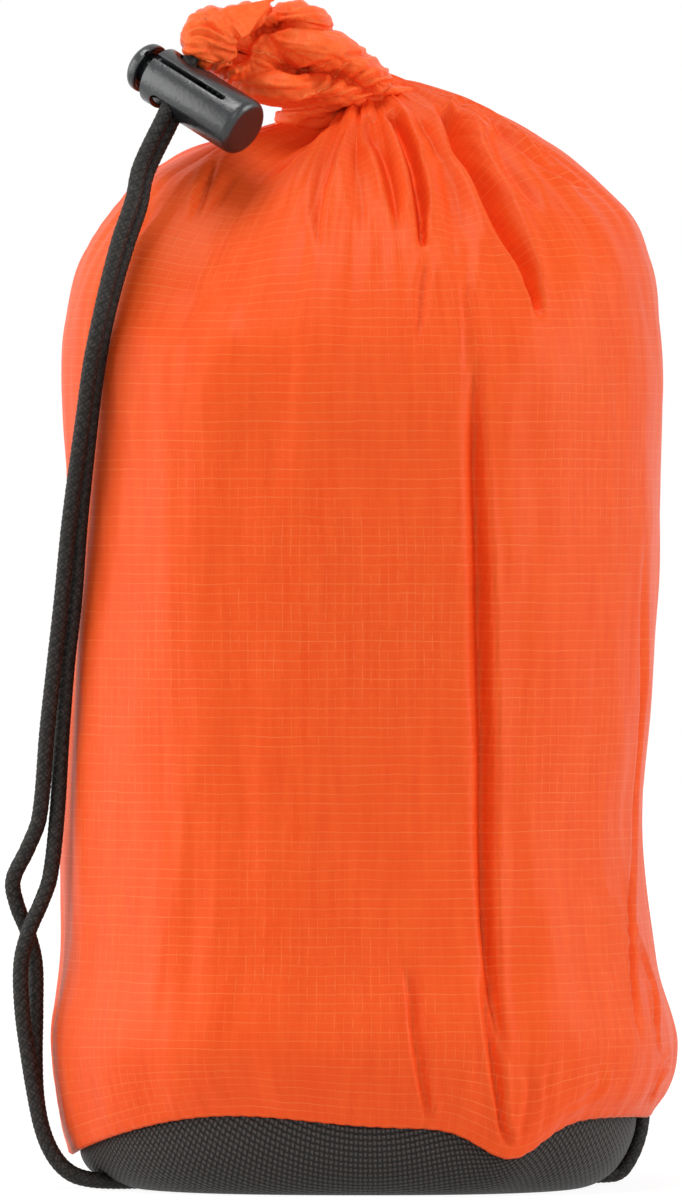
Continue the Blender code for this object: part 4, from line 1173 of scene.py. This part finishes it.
def groove_lift(points):
    """How high the panel lies at least, because of the pair of cords that run under it."""
    way = np.array((UNDER_RIGHT - UNDER_LEFT).normalized()[:2])
    offset = points[..., :2] - np.array(((UNDER_LEFT + UNDER_RIGHT) / 2)[:2])
    across = np.abs(offset[..., 1] * way[0] - offset[..., 0] * way[1])
    return GROOVE_TOP * (1.0 - smooth_step(GROOVE_HALF - 0.0002, GROOVE_HALF + 0.0010, across))


base_turn = np.linspace(0.0, math.tau, BASE_AROUND, endpoint=False)
curl = base_skin(*np.meshgrid(base_turn, np.linspace(0.0, 1.0, BASE_CURL_RINGS)))
flat_rings = [drawn_in(curl[-1], share) for share in np.linspace(1.0, 0.0, BASE_FLAT_RINGS)[1:]]
base_rings = np.array([drawn_in(curl[0], TUCK_SHARE, TUCK_RISE), *curl, *flat_rings])[::-1]
ripple = noise_at(base_rings * RIPPLE_SCALE, 2) * smooth_step(0.0008, 0.0030, base_rings[..., 2])
base_rings[..., :2] *= (1.0 + RIPPLE * ripple)[..., None]
base_rings[..., 2] = np.maximum(base_rings[..., 2], groove_lift(base_rings))

# %% Black oxford weave
# Coarse plain weave: the thick yarns pass over and under by turns. Their colour is painted lighter on top of
# each yarn, a painted highlight, and darker where they dip, painted shade
OXFORD_STEP = 0.00078
oxford = Finish("black oxford weave", (0.030, 0.028, 0.028), 0.66)
cloth = oxford.cloth_place()
cells = [oxford.times(way, 1.0 / OXFORD_STEP) for way in oxford.split(cloth)[:2]]
threads = [oxford.maths("ABSOLUTE", oxford.maths("SINE", oxford.times(place, math.pi))) for place in cells]
corners = [oxford.maths("FLOOR", place) for place in cells]
odd = oxford.maths("FLOORED_MODULO", oxford.maths("ADD", *corners), 2.0)
over, under = (oxford.maths("POWER", thread, 0.7) for thread in threads)
weave = oxford.maths("MULTIPLY_ADD", under, oxford.maths("SUBTRACT", 1.0, odd), oxford.times(over, odd))
weave = oxford.scaled(oxford.times(*threads), 0.8, weave)
fibres = oxford.noise(cloth, 6000.0, 2.0)
relief = oxford.scaled(fibres, 0.35, weave)
# Painted highlight on the yarn crowns and painted shade in the dips, taken from the weave's height
shade = oxford.maths("POWER", oxford.times(relief, 0.42), 3.0)
tone = oxford.mixed(shade, (0.005, 0.0045, 0.004), (0.150, 0.134, 0.122))
oxford.look(colour=tone, rough=oxford.scaled(fibres, 0.2, 0.48), specular=0.25)
oxford.bump(relief, 0.00020)

# %% Make the base
unrolled = running(mean_steps(base_rings))
base = mesh_object("oxford_base", base_rings, grid_faces(len(base_rings), BASE_AROUND, closed=True), oxford)
write_cloth_place(base, from_polar(base_turn, unrolled[:, None], 0.0)[..., :2])
weld(base)
set_outwards(base)
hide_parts("base_panel")
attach(base, "sack")

# %% [markdown]
# ## The gathered mouth
#
# Drawn shut, the hem bunches into a tuft: short fat lobes of doubled cloth, folded against each other
# round a tight pucker, with one loose corner folded over in front. The lobes are spheres, stretched
# and leaned as the photograph shows them and merged by a voxel remesh. Creases are then pressed in
# along drawn lines, because they are what makes the lumps read as thin cloth.

# %% Lobes of the tuft
# Each lobe in millimetres: its middle, its half sizes along, in depth and in thickness, and its lean
LOBES = (
    ((-21.2, -11.0, 164.5), (4.9, 8.4, 4.7), 8.0),
    ((-23.4, -16.4, 164.6), (2.7, 3.4, 2.8), 8.0),
    ((-18.6, -10.0, 160.6), (3.2, 6.0, 2.4), 0.0),
    ((-17.0, -8.0, 167.5), (5.0, 7.5, 2.4), 8.0),
    ((-8.8, -5.0, 167.4), (4.6, 9.5, 2.7), -12.0),
    ((-7.2, -5.5, 163.2), (7.9, 10.5, 3.6), -12.0),
    ((-0.4, -4.2, 160.0), (5.4, 9.0, 2.8), -30.0),
    ((-12.0, -6.5, 157.8), (8.0, 9.0, 3.0), -8.0),
    ((-4.4, -5.0, 157.3), (6.6, 9.0, 2.7), -12.0),
    ((-15.6, -6.4, 161.8), (5.2, 8.2, 4.6), 0.0),
    ((-12.6, 0.0, 164.2), (8.4, 9.0, 5.0), -8.0),
    ((-6.0, 1.5, 160.6), (7.6, 8.0, 4.6), -14.0),
    ((-18.2, -1.0, 162.4), (5.4, 8.0, 4.6), 8.0),
    ((-6.2, -1.5, 154.5), (6.6, 8.0, 3.0), 16.0),
    ((2.0, -1.5, 156.4), (7.0, 8.0, 2.4), 4.0),
    ((-23.7, -17.9, 163.2), (2.0, 2.3, 1.75), 0.0),
    ((-22.4, -16.6, 161.9), (1.7, 2.2, 1.5), 0.0),
)
# The loose corner of the hem is a triangle of cloth that is folded over in front
FLAP = (mm(-20.3, -16.4, 168.6), mm(-12.6, -12.6, 170.3), mm(-17.2, -18.9, 163.9))
FLAP_FACES = ((0, 2, 1), (3, 4, 5), (0, 1, 4, 3), (1, 2, 5, 4), (2, 0, 3, 5))
FLAP_THICKNESS = 0.0009
TUFT_DETAIL = 0.00022


def join(pieces):
    """Joins pieces into the first of them."""
    only(*pieces)
    bpy.ops.object.join()
    return pieces[0]


ripstop_tuft = Finish("crumpled orange ripstop", ORANGE_MAIN, 0.42)
lobes = []
for middle, halves, lean in LOBES:
    bpy.ops.mesh.primitive_uv_sphere_add(segments=48, ring_count=28, radius=0.001)
    lobe = bpy.context.active_object
    leaned = Matrix.Translation(mm(*middle)) @ Matrix.Rotation(math.radians(-lean), 4, "Y")
    lobe.data.transform(leaned @ Matrix.Diagonal((*halves, 1.0)))
    lobes.append(lobe)
flap_way = (FLAP[1] - FLAP[0]).cross(FLAP[2] - FLAP[0]).normalized()
flap_corners = [corner + flap_way * side * FLAP_THICKNESS for side in (-0.5, 0.5) for corner in FLAP]
flap = mesh_object("flap", np.array(flap_corners), FLAP_FACES, ripstop_tuft)
set_outwards(flap)
tuft = join(lobes + [flap])
tuft.name = "gathered_tuft"
modify(tuft, "REMESH", mode="VOXEL", voxel_size=TUFT_DETAIL)
modify(tuft, "SMOOTH", factor=0.5, iterations=3)
print("tuft", len(tuft.data.polygons), "faces")

# %% Creases and crumples of the tuft
# Each crease of the tuft: depth and half-width in millimetres, and its line as places in the picture
TUFT_CREASES = (
    (1.5, 0.55, ((-17.4, 165.2), (-17.1, 163.9), (-17.4, 161.7))),
    (1.2, 0.5, ((-17.3, 162.1), (-19.0, 161.1), (-20.9, 159.6))),
    (1.0, 0.45, ((-19.6, 168.3), (-18.2, 166.7), (-17.3, 164.9))),
    (0.9, 0.4, ((-12.7, 169.6), (-13.9, 167.0), (-16.5, 164.4))),
    (0.6, 0.32, ((-17.4, 163.6), (-19.1, 164.0), (-21.2, 164.9), (-23.5, 165.7), (-25.5, 165.2))),
    (0.65, 0.32, ((-17.5, 163.9), (-19.4, 165.2), (-21.8, 166.7), (-24.1, 166.8), (-25.7, 165.8))),
    (0.6, 0.32, ((-17.5, 164.2), (-19.1, 166.1), (-20.9, 167.6), (-23.0, 167.9), (-25.0, 167.0))),
    (0.55, 0.3, ((-17.5, 164.5), (-18.6, 166.1), (-19.9, 167.4), (-21.4, 168.4), (-23.4, 168.6))),
    (0.45, 0.3, ((-17.4, 163.2), (-19.1, 162.9), (-21.5, 163.5), (-23.8, 163.6), (-25.8, 163.8))),
    (0.45, 0.32, ((-17.4, 162.6), (-19.3, 161.6), (-21.4, 161.2), (-23.8, 161.7), (-25.2, 162.6))),
    (0.55, 0.3, ((-12.7, 169.0), (-10.3, 169.3), (-7.4, 169.9), (-5.4, 169.2))),
    (0.55, 0.3, ((-13.3, 168.1), (-10.3, 168.4), (-7.4, 168.9), (-4.9, 168.2))),
    (0.75, 0.34, ((-13.9, 167.0), (-10.9, 167.4), (-7.4, 167.7), (-4.3, 167.2))),
    (1.0, 0.42, ((-14.5, 165.8), (-12.1, 166.5), (-8.6, 166.9), (-3.7, 166.2))),
    (0.3, 0.5, ((-12.4, 165.7), (-9.8, 165.1), (-6.8, 164.9))),
    (0.7, 0.42,
     ((-16.5, 163.0), (-13.9, 162.1), (-11.5, 160.8), (-9.4, 160.2), (-6.8, 161.1), (-2.9, 162.7))),
    (0.5, 0.35, ((-10.3, 160.2), (-7.4, 160.2), (-4.8, 161.2), (-2.6, 162.1))),
    (0.6, 0.3, ((-18.3, 161.3), (-17.8, 160.7), (-17.3, 161.3), (-16.4, 161.7))),
    (0.55, 0.4, ((-20.3, 159.0), (-16.8, 157.8), (-12.7, 157.4), (-8.6, 157.5), (-5.6, 158.7))),
    (0.6, 0.4, ((-9.3, 155.5), (-7.0, 156.7), (-4.7, 158.4), (-3.8, 160.2))),
    (0.75, 0.5, ((-15.5, 156.1), (-11.5, 155.2), (-8.0, 155.5), (-4.2, 156.7))),
    (0.6, 0.32, ((-2.6, 162.5), (-1.0, 162.8), (1.0, 162.3))),
    (0.7, 0.34, ((-3.5, 157.5), (-1.0, 159.3), (1.4, 161.2), (3.5, 160.6))),
    (0.8, 0.36, ((-7.9, 155.5), (-3.3, 156.4), (0.2, 157.8), (3.7, 158.7), (7.6, 159.1))),
    (0.7, 0.34, ((-8.5, 154.8), (-3.6, 155.4), (-0.1, 157.2), (4.0, 158.1), (8.4, 158.3))),
    (0.8, 0.36, ((-7.9, 153.9), (-3.6, 154.5), (-0.1, 156.0), (3.2, 156.6), (6.8, 156.2))),
    (0.8, 0.4, ((-8.5, 152.8), (-5.1, 153.5), (-2.6, 154.4), (0.2, 154.7))),
    (0.6, 0.32, ((-7.3, 156.3), (-3.3, 157.2), (-0.4, 158.6), (2.6, 159.7), (4.8, 159.4))),
    (0.4, 0.3, ((-20.0, 160.2), (-19.4, 159.6), (-20.3, 158.2))),
    (0.35, 0.28, ((-15.0, 156.7), (-12.7, 156.4), (-10.3, 156.5))),
    (0.3, 0.28, ((-11.5, 163.2), (-10.3, 162.8), (-8.6, 161.7))),
)
CREASE_LIP = 0.45
CREASE_LIP_PLACE = 2.0
CREASE_CURVE = 1.2
PUCKER = (-0.0173, -0.0145, 0.1634)
PUCKER_REACH = 0.0021
PUCKER_DEPTH = 0.0016
SPOKES_END = -0.0165
PLEATS_START = -0.0145
CRUMPLE = 0.00018
CRUMPLE_SCALE = 420.0
PLEAT_DEPTH = 0.00030
PLEAT_LEAN = math.radians(-14.0)
FLAP_REACH = 0.0052
FLAP_CREASES = 0.4
FLAP_PLEATS = 0.2


def in_picture(spots):
    """Where the camera shows these spots, in the picture's plane."""
    nearer = CAMERA_DISTANCE / (CAMERA_DISTANCE + spots[:, 1])
    return np.stack([spots[:, 0] * nearer, CAMERA_HEIGHT + (spots[:, 2] - CAMERA_HEIGHT) * nearer], axis=1)


def picture_path(line):
    """A smooth path in the picture's plane, from places in millimetres."""
    return smooth_path([mm(x, 0.0, z) for x, z in line], 12)


def press_crease(places, line, depth, wide):
    """How far the tuft moves for one crease, which runs through it from front to back."""
    points = np.array([(p.x, p.z) for p in picture_path(line)])
    gaps = np.linalg.norm(places[:, None] - points, axis=2)
    along = gaps.argmin(axis=1) / (len(points) - 1)
    spread = gaps.min(axis=1) / wide
    fade = smooth_step(-0.05, 0.15, along) * (1.0 - smooth_step(0.80, 1.05, along))
    raised = CREASE_LIP * bell(spread - CREASE_LIP_PLACE, 1.0)
    return depth * fade * (raised - np.exp(-(spread**CREASE_CURVE)))


def vertex_values(collection, word):
    """The places or normals of a mesh's vertices, one in each row."""
    found = np.zeros(3 * len(collection))
    collection.foreach_get(word, found)
    return found.reshape(-1, 3)


def crumpled(spots, facing):
    """Creases are drawn where they were seen, and fine pleats run along the cloth between them."""
    away = spots - PUCKER
    shift = -PUCKER_DEPTH * bell(np.linalg.norm(away, axis=1), PUCKER_REACH)
    places = in_picture(spots)
    for depth, wide, line in TUFT_CREASES:
        shift += press_crease(places, line, 0.001 * depth, 0.001 * wide)
    from_flap = spots - np.mean(FLAP, axis=0)
    on_flap = np.abs(from_flap @ np.array(flap_way)) < FLAP_THICKNESS
    on_flap &= np.linalg.norm(from_flap, axis=1) < FLAP_REACH
    shift[on_flap] *= FLAP_CREASES
    gap = np.linalg.norm(away[:, [0, 2]], axis=1)
    spokes = from_polar(np.arctan2(away[:, 2], away[:, 0]), 4.2, 120.0 * gap)
    along = spots[:, 0] * math.cos(PLEAT_LEAN) + spots[:, 2] * math.sin(PLEAT_LEAN)
    across = spots[:, 2] * math.cos(PLEAT_LEAN) - spots[:, 0] * math.sin(PLEAT_LEAN)
    layers = np.stack([110.0 * along, 190.0 * spots[:, 1], 950.0 * across], axis=1)
    radial = 1.0 - smooth_step(SPOKES_END, PLEATS_START, spots[:, 0])
    pleats = radial * np.abs(noise_at(spokes)) + (1.0 - radial) * np.abs(noise_at(layers))
    pleats = PLEAT_DEPTH * (np.minimum(2.6 * pleats, 1.0) ** 0.7 - 0.6)
    shift += np.where(on_flap, FLAP_PLEATS, 1.0) * pleats + CRUMPLE * noise_at(spots * CRUMPLE_SCALE)
    return spots + facing * shift[:, None]


tuft_spots = vertex_values(tuft.data.vertices, "co")
tuft_spots = crumpled(tuft_spots, vertex_values(tuft.data.vertex_normals, "vector"))
tuft.data.vertices.foreach_set("co", tuft_spots.ravel())
tuft.data.update()

# %% Ripstop on the tuft
# The crumples break the grid up, so it is laid askew through the tuft's own place
place = ripstop_tuft.own_place()
askew = ripstop_tuft.add("Mapping", {"Vector": place, "Rotation": (0.5, 0.6, 0.45)}).outputs[0]
across, along, up = ripstop_tuft.split(askew)
wander = ripstop_tuft.scaled(ripstop_tuft.noise(place, 240.0, 2.0), 4.0, -2.0)
grid = ripstop_tuft.larger(*(ripstop_lines(ripstop_tuft, way, wander) for way in (across, up)))
grid = ripstop_tuft.times(grid, 0.22)
patches = ripstop_tuft.noise(place, 500.0)
# The tuft's tone leans towards its lighter orange: painted light on the tuft
shade = ripstop_tuft.scaled(ripstop_tuft.noise(place, 4200.0, 2.0), 0.4, patches)
tone = ripstop_tuft.mixed(grid, ripstop_tuft.mixed(shade, HEM_DEEP_PAINTED_LIT, HEM_ORANGE_PAINTED_LIT), ORANGE_LIGHT)
ripstop_tuft.look(colour=tone, rough=ripstop_tuft.scaled(patches, 0.2, 0.32), specular=0.20, tint=SHEEN_TINT)
ripstop_tuft.bump(ripstop_tuft.scaled(grid, 0.5, ripstop_tuft.noise(place, 1500.0, 4.0)), 0.00009)
set_finish(tuft, ripstop_tuft)
tuft.data.shade_smooth()
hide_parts("gathered_mouth")
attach(tuft, "sack")

# %% [markdown]
# ### The hem's stitching
#
# The hem channel is sewn with a lighter thread. One stitch is a short, thin grain of thread: a sphere
# stretched to its length. It is modelled once and copied along the lines where the seam is seen.

# %% Stitches
STITCH_LENGTH = 0.00125
STITCH_THICK = 0.00024
STITCH_STEP = 0.00105
STITCH_LIFT = 0.00004
STITCH_TURN = math.radians(18.0)
# The seam's lines over the tuft, as places in the picture's plane in millimetres
STITCH_LINES = (
    ((-16.0, 163.2), (-13.6, 162.7), (-11.0, 161.2), (-8.8, 160.4), (-6.1, 161.0), (-4.2, 161.9)),
    ((-8.6, 156.6), (-6.4, 157.3), (-4.5, 158.4), (-3.5, 160.4), (-2.1, 161.6)),
    ((-22.4, 161.9), (-21.0, 161.4), (-19.6, 161.7)),
)
tuft_tree = BVHTree.FromObject(tuft, bpy.context.evaluated_depsgraph_get())


def sewn_spots(line):
    """Where each stitch of one line lies on the cloth: its middle, its way along and the cloth's normal."""
    hits = [sight(tuft_tree, p) for p in picture_path(line)]
    path = [Vector(p) for p in even_steps([hit for hit in hits if hit], STITCH_STEP)[0]]
    spots = []
    for first, second in zip(path[:-1], path[1:]):
        spot, normal = tuft_tree.find_nearest((first + second) / 2)[:2]
        spots.append((spot, (second - first).normalized(), normal))
    return spots


bpy.ops.mesh.primitive_uv_sphere_add(segments=10, ring_count=8, radius=0.5)
one_stitch = bpy.context.active_object
one_stitch.name = "hem_stitching"
one_stitch.data.transform(Matrix.Diagonal((STITCH_LENGTH, STITCH_THICK, STITCH_THICK, 1.0)))
one_stitch.data.shade_smooth()
stitches = []
for line in STITCH_LINES:
    for spot, way, normal in sewn_spots(line):
        copied = add_object("hem_stitching", one_stitch.data.copy())
        side = normal.cross(way).normalized()
        turned = Matrix((way, side, normal)).transposed().to_4x4()
        turned @= Matrix.Rotation(STITCH_TURN if len(stitches) % 2 else -STITCH_TURN, 4, "Z")
        copied.data.transform(Matrix.Translation(spot + normal * STITCH_LIFT) @ turned)
        stitches.append(copied)
bpy.data.objects.remove(one_stitch, do_unlink=True)
stitching = join(stitches)
thread = Finish("orange thread", (0.98, 0.25, 0.055), 0.55)
thread.bump(thread.noise(thread.own_place(), 9000.0, 2.0), 0.00003)
set_finish(stitching, thread)
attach(stitching, "sack")
print(len(stitches), "stitches")

# %% [markdown]
# ## The bivvy inside
#
# The bivvy is a sheet of silvered film, folded into a strip and rolled. It fills the sack. The roll
# is a spiral of doubled film whose layers wander a little, as crinkled film does.

# %% The rolled bivvy
ROLL_LOW = 0.00765
ROLL_HIGH = 0.1240
ROLL_LEVELS = 40
ROLL_TURNS = 5
ROLL_CORE = 0.0040
ROLL_PITCH = 0.0050
ROLL_SPACE = 0.0008
ROLL_WAVE = 0.0004
FILM_THICKNESS = 0.0036
FILM_ROOM = 0.0044
roll_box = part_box("packed_bivvy")
roll_half = (roll_box[1][0] - ROLL_SPACE, roll_box[1][1] - ROLL_SPACE)
print("roll", [round(1000 * v) for v in roll_half], "mm")
roll_turn = np.linspace(0.0, math.tau * ROLL_TURNS, 90 * ROLL_TURNS)
roll_level = np.linspace(ROLL_LOW, ROLL_HIGH, ROLL_LEVELS)[:, None]
wave_spots = np.stack(np.broadcast_arrays(roll_turn * 0.9, roll_level * 90.0, 2.0), axis=-1)
reach = ROLL_CORE + ROLL_PITCH * roll_turn / math.tau
grow = min(1.0, roll_half[0] / (reach[-1] + FILM_ROOM))
layers = from_polar(roll_turn, (reach + ROLL_WAVE * noise_at(wave_spots)) * grow, roll_level)
layers[..., 1] *= roll_half[1] / roll_half[0]

# %% Silvered film and the finished roll
film = Finish("silvered film", (0.78, 0.79, 0.81), 0.22, 0.95)
place = film.own_place()
crinkle = film.add("TexVoronoi", {"Vector": place, "Scale": 240.0})
film.bump(crinkle.outputs["Distance"], 0.0006)
film.look(rough=film.scaled(film.noise(place, 700.0), 0.2, 0.14))
roll = mesh_object("rolled_bivvy", layers, grid_faces(ROLL_LEVELS, len(roll_turn), closed=False), film)
modify(roll, "SOLIDIFY", thickness=FILM_THICKNESS, offset=1.0)
set_outwards(roll)
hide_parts("packed_bivvy")
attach(roll, "sack")
